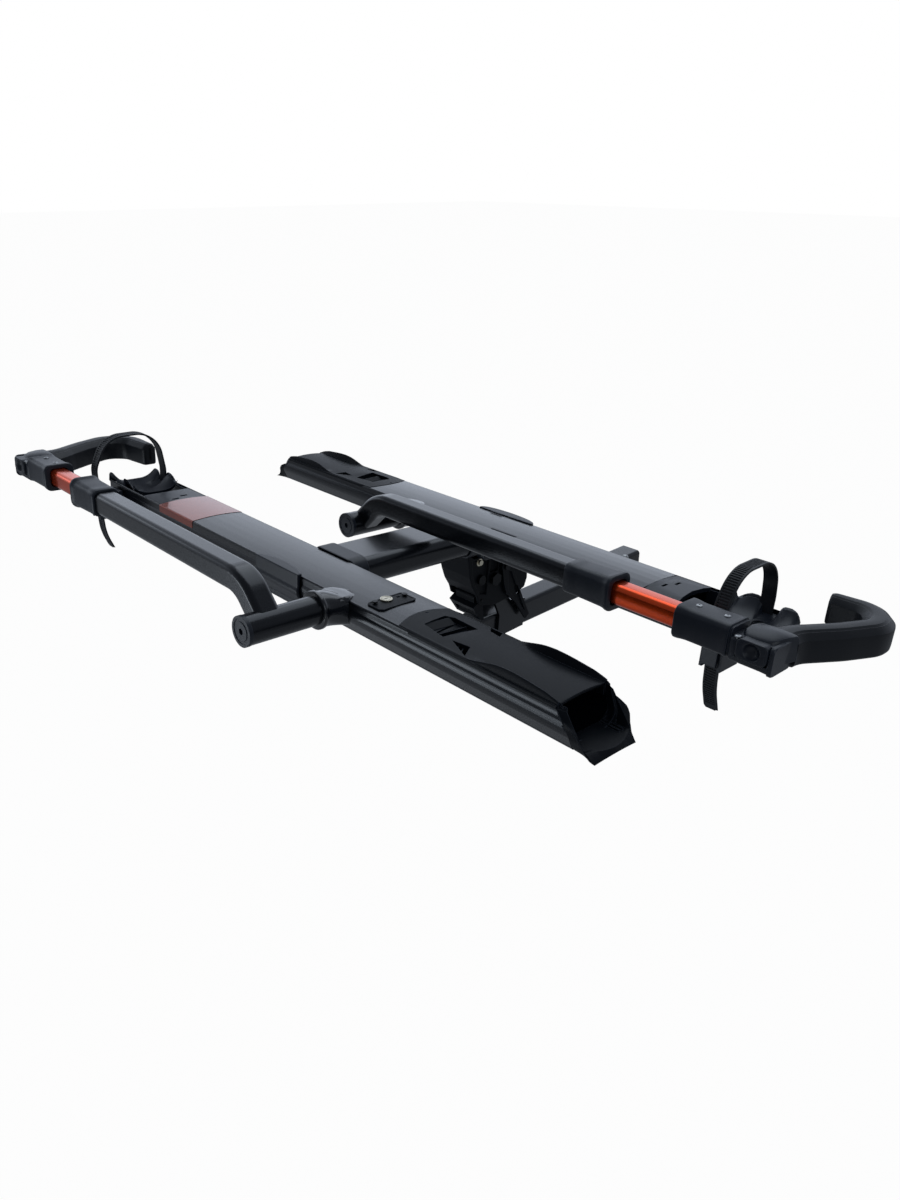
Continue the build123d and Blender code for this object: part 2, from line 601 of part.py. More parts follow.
def make_lock_plate():
    plate = soft_bar(194, 228, -40, 28, -2, PLATE_TOP, 6, Axis.Z) - tray_bar(RUN, 180, 240)
    plate -= along_z(LOCK_R + RUN, -3, 9, *LOCK_SPOT)
    for spot in plate_screw_spots:
        plate -= along_z(PLATE_SCREW_R + SNUG, -3, 9, *spot)
    return plate


def make_lock_cylinder():
    barrel = along_z(LOCK_R, TRAY_CROWN + 2 * SEAT, PLATE_TOP + 2.5, *LOCK_SPOT)
    x, y = LOCK_SPOT
    return barrel - bar(x - 3.5, x + 3.5, y - 0.8, y + 0.8, 5, 12)


def make_plate_screws():
    return Compound(children=[
        along_z(PLATE_SCREW_R, TRAY_CROWN + SEAT, PLATE_TOP, *spot)
        + along_z(PLATE_SCREW_R + 2.2, PLATE_TOP, PLATE_TOP + 1.8, *spot)
        for spot in plate_screw_spots
    ])


def make_near_band():
    band = tray_bar(RUN + BAND_THICK, CRADLE_X + 1, -276) - tray_bar(RUN, CRADLE_X, -275)
    return band - bar(-400, -270, -60, 60, -60, -12)


# Spine beam and the saddles that carry the trays

SADDLE_SKIN = 6.0
SADDLE_LIP = 13.0
LIP_EDGE = 2.0
LIP_TOP = 5.0
SADDLE_RIM = -4.0
PLUG_SKIN = 5.0
COLLAR_SKIN = 4.0
SPINE_ROUND = 18.0
spine_mid_z = TRAY_Z - SPINE_DEPTH / 2
saddle_reach = TRAY_HALF + 2 + SEAT + SADDLE_SKIN
spine_y0 = NEAR_TRAY_Y + saddle_reach + SEAT
spine_y1 = FAR_TRAY_Y - saddle_reach - SEAT


def spine_shape(grow, y0, y1):
    """The spine's flat oval, grown all round by a distance, between two Y planes."""
    oval = RectangleRounded(2 * (SPINE_HALF + grow), SPINE_DEPTH + 2 * grow, SPINE_ROUND + grow)
    plane = Plane(origin=(0, y0, spine_mid_z), x_dir=(1, 0, 0), z_dir=(0, 1, 0))
    return extrude(plane * oval, y1 - y0)


spine_tube = spine_shape(0, spine_y0, spine_y1) - spine_shape(-SPINE_WALL, spine_y0 - 1, spine_y1 + 1)


def lip_plan(x0, x1, side):
    """A saddle lip in plan: from outside the tray to a shallow arc over its edge."""
    edge, out = side * (TRAY_HALF - LIP_EDGE), side * (TRAY_HALF + 20)
    arc = ThreePointArc((x0, edge), ((x0 + x1) / 2, side * (TRAY_HALF - SADDLE_LIP)), (x1, edge))
    rest = Polyline((x1, edge), (x1, out), (x0, out), (x0, edge))
    return make_face(Wire([*arc.edges(), *rest.edges()]))


def saddle_clamp(x0, x1, bolt_x, side):
    """A saddle's clamp round a tray, with its bolt holes and one lip over the tray's open edge."""
    clamp = tray_bar(SEAT + SADDLE_SKIN, x0, x1) - tray_bar(SEAT, x0 - 1, x1 + 1)
    top = bar(x0 - 1, x1 + 1, -TRAY_HALF - 20, TRAY_HALF + 20, SADDLE_RIM, 30)
    clamp -= top - plan_plate(lip_plan(x0, x1, side), SADDLE_RIM - 1, LIP_TOP)
    for x, y in bolt_spots(bolt_x):
        clamp -= along_z(SADDLE_BOLT_R + SEAT, -TRAY_DEPTH - 9, -TRAY_DEPTH + 2, x, y)
    return clamp


def saddle_neck(y_face, toward):
    """What joins a saddle to the spine: a plug in its end and a collar round it."""
    y_plug = y_face + toward * 60
    y_collar = y_face + toward * 22
    plug = spine_shape(-SPINE_WALL - SNUG, min(y_face, y_plug), max(y_face, y_plug))
    plug -= spine_shape(-SPINE_WALL - PLUG_SKIN, min(y_face, y_plug) - 1, max(y_face, y_plug) + 1)
    back = y_face - toward * 12
    web = spine_shape(COLLAR_SKIN, min(y_face, back), max(y_face, back))
    ring_y = sorted((y_face, y_collar))
    collar = spine_shape(COLLAR_SKIN, *ring_y) - spine_shape(SNUG, ring_y[0] - 1, ring_y[1] + 1)
    return plug + web + collar


near_saddle = near_place * saddle_clamp(-66, 50, NEAR_BOLT_X, -1) + (
    saddle_neck(spine_y0 - SEAT, 1) - near_place * tray_bar(SEAT + 1, -90, 90)
)
far_saddle = far_place * saddle_clamp(-56, 58, FAR_BOLT_X, 1) + (
    saddle_neck(spine_y1 + SEAT, -1) - far_place * tray_bar(SEAT + 1, -90, 90)
)

SHELF_Z = TRAY_Z - TRAY_DEPTH - SEAT - SADDLE_SKIN
TOP_PLATE = 6.0


def saddle_screw(x, y, low):
    """A saddle bolt with its head below and its nut inside the tray."""
    inside = TRAY_Z - TRAY_DEPTH + TRAY_WALL
    bolt = along_z(SADDLE_BOLT_R, low - 1, inside + 9, x, y) + along_z(7, low - 5, low - RUN, x, y)
    return bolt + along_z(7, inside + RUN, inside + 6, x, y)


near_saddle_screws = Compound(children=[
    saddle_screw(x, y + NEAR_TRAY_Y, SHELF_Z) for x, y in bolt_spots(NEAR_BOLT_X)
])
far_saddle_screws = Compound(children=[
    saddle_screw(x, y + FAR_TRAY_Y, SHELF_Z - TOP_PLATE) for x, y in bolt_spots(FAR_BOLT_X)
])

# Pivot housing, hung under the far saddle

WALL_OUT = HOUSING_OUT
NECK_LOW = TRAY_Z - SPINE_DEPTH - COLLAR_SKIN - SNUG
neck_front = FAR_TRAY_Y - 71.0
front_outline = [(neck_front, NECK_LOW), (neck_front + 4, 43), (-67, 16), (-57, -8), (-44, -27)]
side_outline = [
    *front_outline, (-39, -42), (-28, -49), (10, -56), (60, -50), (90, -38), (96, -20), (96, 30), (84, 46),
    (84, SHELF_Z - SNUG), (neck_front + 16, SHELF_Z - SNUG), (neck_front + 10, NECK_LOW),
]
CROSS_BOLT = (-40.0, 40.0)
PEDAL_PIN = (-30.0, -38.0)
LEVER_HUB = (26.0, 21.0)
RECESS = 5.0
FRONT_WALL = 5.0


def make_housing():
    walls = side_plate(side_outline, -WALL_OUT, WALL_OUT)
    hollow = [(y + FRONT_WALL + 0.8, z) for y, z in front_outline]
    hollow = [(hollow[0][0], SHELF_Z - TOP_PLATE), *hollow[1:4], (-39.5, -23.5), (-36, -60), (120, -60)]
    hollow += [(120, SHELF_Z - TOP_PLATE)]
    housing = walls - side_plate(hollow, -HOUSING_IN, HOUSING_IN)
    housing -= side_plate([(-60, -26), (-34, -26), (-20, -80), (-60, -80)], -HOUSING_IN, HOUSING_IN)
    housing -= bar(-HOUSING_IN, HOUSING_IN, FAR_TRAY_Y + TRAY_HALF, 120, 0, 90)
    front_window = [(-62, 48), (-58, 16), (-49, -6), (-36, -24), (-20, -28), (-19, 48)]
    for window in (front_window, [(-13, 44), (-13, 14), (8, 16), (8, 44)]):
        housing -= side_plate(window, WALL_OUT - RECESS, WALL_OUT + 20)
    housing -= along_x(PIVOT_R + RUN, -60, 60)
    housing -= along_x(LATCH_R + RUN, -60, 60, LATCH_Y, LATCH_Z)
    housing -= along_x(4 + RUN, -60, 60, *CROSS_BOLT)
    housing -= along_x(3 + RUN, -60, 60, *PEDAL_PIN)
    housing -= along_x(4 + RUN, 0, 60, *LEVER_HUB)
    for x, y in bolt_spots(FAR_BOLT_X):
        housing -= along_z(SADDLE_BOLT_R + SEAT, 30, 70, x, y + FAR_TRAY_Y)
    return housing


def make_pivot_bushes():
    bush = along_x(16, PLATE_OUT + RUN, HOUSING_IN - RUN) - along_x(PIVOT_R + RUN, 0, 60)
    return Compound(children=[bush, mirror(bush, Plane.YZ)])


BOLT_HEAD = 7.0
recess_face = WALL_OUT - RECESS
pivot_bolt = along_x(PIVOT_R, -WALL_OUT - 9, WALL_OUT)
pivot_bolt += Location((WALL_OUT + RUN, 0, 0), (0, 90, 0)) * extrude(RegularPolygon(13, 6), BOLT_HEAD)
pivot_bolt += along_x(PIVOT_R, 0, WALL_OUT + 1)
pivot_nut = Location((-WALL_OUT - RUN - 8, 0, 0), (0, 90, 0)) * extrude(RegularPolygon(13, 6), 8)
pivot_nut -= along_x(PIVOT_R + RUN, -99, 0)
cross_bolt = along_x(4, -WALL_OUT - 2, WALL_OUT, *CROSS_BOLT)
cross_bolt += along_x(7.5, recess_face + RUN, recess_face + 1.6, *CROSS_BOLT)
cross_bolt += along_x(5, recess_face + 1.6, WALL_OUT + 1, *CROSS_BOLT)
cross_bolt += along_x(7, -WALL_OUT - 6, -WALL_OUT - RUN, *CROSS_BOLT)
latch_pin = along_x(LATCH_R, -WALL_OUT - 1, WALL_OUT, LATCH_Y, LATCH_Z)
latch_pin += along_x(9.5, recess_face + RUN, WALL_OUT, LATCH_Y, LATCH_Z)
latch_pin += along_x(9.5, -WALL_OUT - 4, -WALL_OUT - RUN, LATCH_Y, LATCH_Z)

# Foot pedal under the nose of the housing, and the hand lever beside it

PEDAL_HALF = HOUSING_IN - SEAT
KNUCKLE_HALF = PLATE_IN - 1.0


def make_foot_pedal():
    pedal = side_plate([(-46, -53), (-34, -45), (-22, -47), (-14, -83), (-23, -83)], -PEDAL_HALF, PEDAL_HALF)
    pedal -= along_x(HEAD_R + 2, -60, 60)
    pedal -= bar(-PEDAL_HALF + 7, PEDAL_HALF - 7, -60, -27, -76, -62)
    knuckle = along_x(7, -KNUCKLE_HALF, KNUCKLE_HALF, *PEDAL_PIN)
    knuckle += side_plate([(-37, -38), (-23, -38), (-20, -52), (-36, -50)], -KNUCKLE_HALF, KNUCKLE_HALF)
    return pedal + knuckle - along_x(3 + RUN, -60, 60, *PEDAL_PIN)


pedal_pin = along_x(3, -WALL_OUT - 1, WALL_OUT + 1, *PEDAL_PIN)

LEVER_X0 = WALL_OUT + 1.0
LEVER_X1 = LEVER_X0 + 6.0


def make_release_lever():
    lever = side_plate([
        (14, 20), (26, 33), (40, 24), (46, 10), (72, -41), (104, -97), (95, -106), (60, -62), (30, -36),
        (20, -10),
    ], LEVER_X0, LEVER_X1)
    lever += along_x(13, LEVER_X0, LEVER_X1, *LEVER_HUB)
    pan_points = [(30, 12), (40, 8), (66, -42), (92, -90), (62, -56), (36, -32)]
    pan = side_plate(pan_points, LEVER_X0 + 3, LEVER_X1 + 1)
    lever -= pan
    slot = Plane.YZ * (Pos(62, -36) * Rot(0, 0, -58) * SlotOverall(24, 9))
    lever -= Location((LEVER_X0 - 1, 0, 0)) * extrude(slot, 12)
    return lever - along_x(4 + RUN, 0, 60, *LEVER_HUB)


lever_pin = along_x(4, HOUSING_IN + 0.5, LEVER_X1 + 0.5, *LEVER_HUB)
lever_pin += along_x(7, LEVER_X1 + RUN, LEVER_X1 + 3, *LEVER_HUB)

# Every piece by name. What is on the rack is set on its slope about the pivot.

slope_place = Location((0, PIVOT_Y, PIVOT_Z), (-RIDE_SLOPE, 0, 0))


def on_near(shape):
    return slope_place * near_place * shape


def on_far(shape):
    return slope_place * far_place * mirror(shape, Plane.YZ)


hitch_pieces = {
    "hitch_tube": hitch_tube, "tube_plug": tube_plug, "cam_knob": cam_knob, "cam_rod": cam_rod,
    "cam_wedge": cam_wedge, "cam_ball": cam_ball,
}
rack_pieces = {
    "bracket_plates": bracket_plates, "pivot_housing": make_housing(), "pivot_bushes": make_pivot_bushes(),
    "pivot_bolt": pivot_bolt, "pivot_nut": pivot_nut, "cross_bolt": cross_bolt, "latch_pin": latch_pin,
    "foot_pedal": make_foot_pedal(), "pedal_pin": pedal_pin, "release_lever": make_release_lever(),
    "lever_pin": lever_pin, "spine_tube": spine_tube, "near_saddle": near_saddle, "far_saddle": far_saddle,
    "near_saddle_screws": near_saddle_screws, "far_saddle_screws": far_saddle_screws,
}
both_trays = {
    "scoop": make_scoop(), "cradle": make_cradle(), "strap": strap_run(STRAP_THICK, STRAP_WIDTH),
    "buckle": make_buckle(), "buckle_lever": make_buckle_lever(), "boss": make_boss(),
    "pivot_shaft": make_pivot_shaft(), "arm": make_arm(), "end_cap": make_end_cap(), "collar": make_collar(),
    "slide_tube": make_slide_tube(), "hook_head": make_hook_head(), "hook_core": make_hook_core(),
    "hook_pad": make_hook_pad(), "trigger": make_trigger(), "hook_screws": make_hook_screws(),
}
near_only = {
    "lock_plate": make_lock_plate(), "lock_cylinder": make_lock_cylinder(),
    "plate_screws": make_plate_screws(), "near_band": make_near_band(),
}

nodes = dict(hitch_pieces)
nodes["near_tray"] = on_near(make_tray(NEAR_BOLT_X))
nodes["far_tray"] = on_far(make_tray(FAR_BOLT_X))
for name, shape in rack_pieces.items():
    nodes[name] = slope_place * shape
for name, shape in both_trays.items():
    nodes["near_" + name] = on_near(shape)
    nodes["far_" + name] = on_far(shape)
for name, shape in near_only.items():
    nodes[name] = on_near(shape)
for name, shape in nodes.items():
    export_step(shape, f"parts/{name}.step")
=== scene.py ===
import math

import bmesh
import bpy
from mathutils import Matrix, Vector


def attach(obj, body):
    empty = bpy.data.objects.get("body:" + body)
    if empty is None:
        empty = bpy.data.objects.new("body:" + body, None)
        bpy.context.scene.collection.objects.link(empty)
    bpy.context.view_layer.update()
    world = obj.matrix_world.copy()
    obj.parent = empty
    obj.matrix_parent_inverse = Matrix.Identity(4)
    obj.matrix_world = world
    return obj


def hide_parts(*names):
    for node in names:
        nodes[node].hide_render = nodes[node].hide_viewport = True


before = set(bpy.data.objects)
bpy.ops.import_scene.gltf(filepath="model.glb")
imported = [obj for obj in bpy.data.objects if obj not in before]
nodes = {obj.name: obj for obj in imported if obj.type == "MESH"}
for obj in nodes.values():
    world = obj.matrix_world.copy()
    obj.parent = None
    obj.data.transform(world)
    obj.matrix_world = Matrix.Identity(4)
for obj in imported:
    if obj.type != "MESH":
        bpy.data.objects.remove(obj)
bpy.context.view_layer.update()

# The studio: a pale floor at the height of the ground below a car's hitch, a white
# surround that is brightest low down behind the rack, a soft box overhead, two fills and
# a low strip in front. The camera stands where the photograph was taken from.
GROUND = -0.46
FLOOR_HALF = 30.0
FLOOR_SEEN = 0.975
FLOOR_MIRRORED = 0.06
CAMERA_PLACE = (1.11035, -1.5622, 0.8132)
CAMERA_AZIMUTH = math.radians(46.110)
CAMERA_ELEVATION = math.radians(25.457)
CAMERA_ROLL = math.radians(0.362)
CAMERA_LENS = 27.13
SENSOR_WIDTH = 36.0
SURROUND_DIFFUSE = 0.42
SURROUND_DIMMEST = 0.2
LAMPS_AIM = Vector((0, -0.6, 0.15))
LAMPS_COLOUR = (0.84, 0.92, 1.0)
LAMPS = {  # place, width, height and watts
    "soft_box": ((-0.5, 0.3, 2.3), 2.2, 2.2, 20.0),
    "left_fill": ((-2.6, -1.9, 1.1), 0.8, 0.6, 1.5),
    "right_fill": ((2.4, -0.9, 1.5), 1.2, 1.2, 6.0),
    "front_strip": ((-0.74, -2.4, -0.2), 1.4, 0.5, 7.0),
}


def linear(code):
    """An sRGB hex colour as linear RGBA."""
    parts = [int(code[i:i + 2], 16) / 255 for i in (1, 3, 5)]
    return (*[p / 12.92 if p <= 0.04045 else ((p + 0.055) / 1.055) ** 2.4 for p in parts], 1.0)


def add(tree, kind, settings=None, inputs=None):
    """Adds a shader node with its settings, and its inputs as values or as links."""
    made = tree.nodes.new("ShaderNode" + kind)
    for name, value in (settings or {}).items():
        setattr(made, name, value)
    for name, value in (inputs or {}).items():
        if isinstance(value, bpy.types.NodeSocket):
            tree.links.new(value, made.inputs[name])
        else:
            made.inputs[name].default_value = value
    return made


def new_material(name):
    """An empty node material, and its output node."""
    material = bpy.data.materials.new(name)
    material.use_nodes = True
    material.node_tree.nodes.clear()
    return material, add(material.node_tree, "OutputMaterial")


def link_object(name, data):
    """Puts new data into the scene under a name."""
    made = bpy.data.objects.new(name, data)
    bpy.context.scene.collection.objects.link(made)
    return made


view = bpy.data.cameras.new("camera")
view.lens = CAMERA_LENS
view.sensor_width = SENSOR_WIDTH
camera = link_object("camera", view)
level = math.cos(CAMERA_ELEVATION)
forward = Vector((
    -math.sin(CAMERA_AZIMUTH) * level, math.cos(CAMERA_AZIMUTH) * level, -math.sin(CAMERA_ELEVATION),
))
turn = forward.to_track_quat("-Z", "Y").to_matrix().to_4x4() @ Matrix.Rotation(CAMERA_ROLL, 4, "Z")
camera.matrix_world = Matrix.Translation(CAMERA_PLACE) @ turn
bpy.context.scene.camera = camera
bpy.context.scene.view_settings.view_transform = "Standard"

# The floor is white to the camera, a little white in glossy faces, and a matte pale grey
# that lights the rack's underside.
floor_mesh = bpy.data.meshes.new("floor")
floor_corners = [
    (x * FLOOR_HALF, y * FLOOR_HALF, GROUND) for x, y in ((-1, -1), (1, -1), (1, 1), (-1, 1))
]
floor_mesh.from_pydata(floor_corners, [], [(0, 1, 2, 3)])
floor = link_object("floor", floor_mesh)
floor_paint, out = new_material("floor_paint")
tree = floor_paint.node_tree
path = add(tree, "LightPath")
matte = add(tree, "BsdfDiffuse", inputs={"Color": linear("#B8B8B8")})
white = add(tree, "Emission", inputs={"Color": (1, 1, 1, 1), "Strength": 1.0})
mirrored = add(tree, "Math", {"operation": "MAXIMUM"}, {
    0: path.outputs["Is Glossy Ray"], 1: path.outputs["Is Transmission Ray"],
})
share = add(tree, "Math", {"operation": "MULTIPLY"}, {0: mirrored.outputs[0], 1: FLOOR_MIRRORED})
seen = add(tree, "Math", {"operation": "MULTIPLY_ADD"}, {
    0: path.outputs["Is Camera Ray"], 1: FLOOR_SEEN, 2: share.outputs[0],
})
both = add(tree, "MixShader", inputs={0: seen.outputs[0], 1: matte.outputs[0], 2: white.outputs[0]})
tree.links.new(both.outputs[0], out.inputs["Surface"])
floor_mesh.materials.append(floor_paint)

# The surround is plain white to the camera and an even dim light to matte faces. Glossy
# faces mirror its bright low band behind the rack.
world = bpy.data.worlds.new("studio")
bpy.context.scene.world = world
world.use_nodes = True
tree = world.node_tree
tree.nodes.clear()
path = add(tree, "LightPath")
around = add(tree, "TexCoord")
split = add(tree, "SeparateXYZ", inputs={"Vector": around.outputs["Generated"]})
toward_back = add(tree, "Math", {"operation": "SUBTRACT"}, {0: split.outputs["Y"], 1: split.outputs["X"]})
back = add(tree, "MapRange", {"interpolation_type": "SMOOTHSTEP"}, {
    "Value": toward_back.outputs[0], "From Min": -0.5, "From Max": 1.3, "To Min": 0.0, "To Max": 1.0,
})
low = add(tree, "MapRange", {"interpolation_type": "SMOOTHSTEP"}, {
    "Value": split.outputs["Z"], "From Min": 0.36, "From Max": 0.56, "To Min": 1.0, "To Max": 0.32,
})
sweep = add(tree, "Math", {"operation": "MULTIPLY_ADD"}, {
    0: back.outputs[0], 1: low.outputs[0], 2: SURROUND_DIMMEST,
})
mirrored = add(tree, "Math", {"operation": "MAXIMUM"}, {
    0: path.outputs["Is Glossy Ray"], 1: path.outputs["Is Transmission Ray"],
})
soft = add(tree, "Mix", {"data_type": "FLOAT"}, {
    0: mirrored.outputs[0], 2: SURROUND_DIFFUSE, 3: sweep.outputs[0],
})
shown = add(tree, "Mix", {"data_type": "FLOAT"}, {0: path.outputs["Is Camera Ray"], 2: soft.outputs[0], 3: 1.0})
cool = add(tree, "Mix", {"data_type": "RGBA"}, {
    0: path.outputs["Is Camera Ray"], 6: linear("#E2EBFA"), 7: (1, 1, 1, 1),
})
sky = add(tree, "Background", inputs={"Color": cool.outputs[2], "Strength": shown.outputs[0]})
tree.links.new(sky.outputs[0], add(tree, "OutputWorld").inputs["Surface"])

for name, (place, width, height, watts) in LAMPS.items():
    lamp = bpy.data.lights.new(name, "AREA")
    lamp.shape = "RECTANGLE"
    lamp.size, lamp.size_y = width, height
    lamp.energy = watts
    lamp.color = LAMPS_COLOUR
    bulb = link_object(name, lamp)
    bulb.location = place
    bulb.rotation_euler = (LAMPS_AIM - Vector(place)).to_track_quat("-Z", "Y").to_euler()


# Hitch tube: square steel tube that slides into the car's receiver, with its cross hole
# for the hitch pin, and the two bracket plates welded to its sides. Blasted and finished
# in a black powder coat.
# The patches below are where edges are paled, partly as wear and partly as a painted highlight.
CLOUD_WIDTH = 1 / 28  # clouds of colour are about 36 mm across, and worn patches 6 mm
PATCH_WIDTH = 0.00625


def finish(name, light, dark, roughness, grain, depth, metallic=0.0, coat=0.0, coat_roughness=0.07,
           stretch=(1, 1, 1), wear_and_highlight="", edge_paling=0.0, ior=1.5, spread=0.06, specular=0.5, edge=0.0008):
    """A material with clouded colour, a grain of a width and depth in metres, and soft edges paled partly by wear
    and partly as a painted highlight.

    Metals keep the shader's own IOR of 1.5. Where a real grain is too fine to show in a
    picture of the whole rack, it is drawn about a millimetre wide.
    """
    material, out = new_material(name)
    tree = material.node_tree
    place = add(tree, "TexCoord").outputs["Object"]
    drawn = add(tree, "Mapping", inputs={"Vector": place, "Scale": stretch}).outputs[0]
    cloud = add(tree, "TexNoise", inputs={"Vector": place, "Scale": 1 / CLOUD_WIDTH, "Detail": 4.0})
    fine = add(tree, "TexNoise", inputs={"Vector": drawn, "Scale": 1 / grain, "Detail": 3.0})
    tone = add(tree, "Mix", {"data_type": "RGBA"}, {
        0: cloud.outputs["Fac"], 6: linear(dark), 7: linear(light),
    }).outputs[2]
    rounded = add(tree, "Bevel", {"samples": 6}, {"Radius": edge}) if edge else add(tree, "NewGeometry")
    # Edges are mixed in patches towards a paler colour, partly as wear and partly as a painted highlight.
    if wear_and_highlight:
        true = add(tree, "NewGeometry")
        turned = add(tree, "VectorMath", {"operation": "DOT_PRODUCT"}, {
            0: rounded.outputs["Normal"], 1: true.outputs["Normal"],
        })
        rim = add(tree, "MapRange", inputs={
            "Value": turned.outputs["Value"], "From Min": 0.985, "From Max": 0.80,
            "To Min": 0.0, "To Max": edge_paling,
        })
        patchy = add(tree, "TexNoise", inputs={"Vector": place, "Scale": 1 / PATCH_WIDTH, "Detail": 3.0})
        paled_edge = add(tree, "Math", {"operation": "MULTIPLY"}, {0: rim.outputs[0], 1: patchy.outputs["Fac"]})
        tone = add(tree, "Mix", {"data_type": "RGBA"}, {
            0: paled_edge.outputs[0], 6: tone, 7: linear(wear_and_highlight),
        }).outputs[2]
    rough = add(tree, "MapRange", inputs={
        "Value": fine.outputs["Fac"], "From Min": 0.25, "From Max": 0.75,
        "To Min": roughness - spread, "To Max": roughness + spread,
    })
    bump = add(tree, "Bump", inputs={
        "Height": fine.outputs["Fac"], "Strength": 1.0, "Distance": depth,
        "Normal": rounded.outputs["Normal"],
    })
    shader = add(tree, "BsdfPrincipled", inputs={
        "Base Color": tone, "Metallic": metallic, "Roughness": rough.outputs[0], "IOR": ior,
        "Coat Weight": coat, "Coat Roughness": coat_roughness, "Coat IOR": 1.4,
        "Specular IOR Level": specular, "Normal": bump.outputs[0],
    })
    tree.links.new(shader.outputs[0], out.inputs["Surface"])
    return material


def dress(material, *names):
    """Gives CAD nodes that are shown as they are a finish."""
    for name in names:
        for holder in nodes[name].material_slots:
            holder.material = material


# Metal flake under a gloss: nearly black, with long soft reflections. The flake is 0.1 mm
# in the real coat and is drawn at 0.9 mm.
powder_coat = finish("flake_powder_coat_on_steel", "#0E131A", "#080C12", 0.3, 0.0009, 0.000003, metallic=0.6,
                     coat=0.6, coat_roughness=0.17, edge=0, specular=0.42)
dress(powder_coat, "hitch_tube", "bracket_plates")


# Plug, knob, draw rod, wedge and ball at the end of the hitch tube. The plug and the knob
# are black nylon; rod and wedge are zinc-plated steel and the ball is bearing steel.
# Turning the knob draws the wedge, which pushes the ball out against the receiver.
WELD = 1e-6
MOULD_VOXEL = 0.0013
MOULD_ROUNDS = 5
NO_CREASE = 180


def seat(name, mesh, material, body, stands_for, crease, place=None):
    """Puts a finished mesh on its body: placed, closed outwards, smooth but for its creases."""
    if place is not None:
        mesh.transform(place)
    form = bmesh.new()
    form.from_mesh(mesh)
    bmesh.ops.remove_doubles(form, verts=form.verts, dist=WELD)
    bmesh.ops.recalc_face_normals(form, faces=form.faces)
    form.to_mesh(mesh)
    form.free()
    mesh.shade_smooth()
    mesh.set_sharp_from_angle(angle=math.radians(crease))
    mesh.materials.clear()
    mesh.materials.append(material)
    piece = link_object(name, mesh)
    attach(piece, body)
    if stands_for:
        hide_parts(*stands_for)
    return piece


def shaped(piece):
    """The mesh of an object with its modifiers applied, and the object taken away."""
    mesh = bpy.data.meshes.new_from_object(piece.evaluated_get(bpy.context.evaluated_depsgraph_get()))
    bpy.data.objects.remove(piece)
    return mesh


def softened(node, keep=0.25):
    """A copy of a CAD piece whose edges are all rounded a little, as a mould leaves them."""
    piece = link_object("blank", nodes[node].data.copy())
    form = bmesh.new()
    form.from_mesh(piece.data)
    bmesh.ops.remove_doubles(form, verts=form.verts, dist=WELD)
    form.to_mesh(piece.data)
    form.free()
    remesh = piece.modifiers.new("mould", "REMESH")
    remesh.mode = "VOXEL"
    remesh.voxel_size = MOULD_VOXEL
    piece.modifiers.new("polish", "SMOOTH").iterations = MOULD_ROUNDS
    piece.modifiers.new("thin", "DECIMATE").ratio = keep
    return shaped(piece)


# Black with a faint moulded grain, 0.2 mm in the real one and drawn at 1.1 mm; its edges
# are paled a little, partly as wear and partly as a painted highlight.
nylon = finish("glass_filled_nylon", "#0A0E14", "#070A0F", 0.42, 0.0011, 0.000006, wear_and_highlight="#515863", edge_paling=0.8,
               specular=0.2, ior=1.33)
# Pale grey metal with a fine crystalline sparkle, drawn at 1 mm.
zinc = finish("zinc_plate", "#A9ABAC", "#8C8E90", 0.35, 0.001, 0.00003, metallic=1.0)
dress(nylon, "tube_plug")
dress(zinc, "cam_rod", "cam_wedge", "cam_ball")
seat("lobed_knob", softened("cam_knob"), nylon, "cam_screw", ["cam_knob"], NO_CREASE)

# Pivot bolt and nut, bushes, latch pin and the pins of pedal and lever: black oxide steel
# through the bracket. The cross bolt is of nickel-plated steel.
# Nearly black, with a dull sheen.
black_oxide = finish("black_oxide_steel", "#1D1F22", "#131416", 0.38, 0.0008, 0.00002, metallic=0.8, specular=0.42)
# Warm and bright, so that the bolt shows as a pale ring in the housing's window.
nickel = finish("nickel_plate", "#CFC9B8", "#B9B3A2", 0.2, 0.001, 0.00001, metallic=1.0, spread=0.04)
dress(black_oxide, "pivot_bolt", "pivot_nut", "latch_pin", "pedal_pin", "lever_pin", "pivot_bushes")
dress(nickel, "cross_bolt")

# Housing of the tilt pivot, foot pedal and hand lever: glass-filled nylon over the steel
# bracket, moulded with deep ribbed windows, satin black.
seat("moulded_pivot_housing", softened("pivot_housing"), nylon, "rack", ["pivot_housing"], NO_CREASE)
dress(nylon, "foot_pedal", "release_lever")

# Spine: flat-oval steel tube that carries both trays, bolted to the housing and powder
# coated like the hitch tube.
dress(powder_coat, "spine_tube")


# Saddles that clamp the trays to the spine, moulded in nylon and held by black oxide
# screws. The far one shows beside its tray as two lens-shaped ears, one at each long
# edge, in place of the solid's plain step.
RIDING_SLOPE = math.radians(-3.9)
TILT_PIVOT = (0, -0.415, 0.113)
NEAR_TRAY = (0, -0.400, 0.110)
FAR_TRAY = (0, -0.005, 0.110)
SADDLE_KEEP = 0.4
STEP_PLAN = [(-90, 38), (-90, 80), (60, 80), (60, 38)]
EAR_EDGE = 1.1

# What lies on a tray is drawn in the tray's own millimetres and set down by these: on the
# near tray, and mirrored on the far one. Both lie on the rack's riding slope.
rack = Matrix.Translation(TILT_PIVOT) @ Matrix.Rotation(RIDING_SLOPE, 4, "X")
millimetres = Matrix.Scale(0.001, 4)
sides = {
    "near": rack @ Matrix.Translation(NEAR_TRAY) @ millimetres,
    "far": rack @ Matrix.Translation(FAR_TRAY) @ Matrix.Scale(-1, 4, (1, 0, 0)) @ millimetres,
}


def loft(rings):
    """A closed mesh through rings of as many points each, capped at both ends."""
    count = len(rings[0])
    faces = [tuple(range(count)), tuple(range((len(rings) - 1) * count, len(rings) * count))]
    for i in range(len(rings) - 1):
        for j in range(count):
            k = (j + 1) % count
            faces.append((i * count + j, i * count + k, (i + 1) * count + k, (i + 1) * count + j))
    mesh = bpy.data.meshes.new("loft")
    mesh.from_pydata([tuple(p) for ring in rings for p in ring], [], faces)
    return mesh


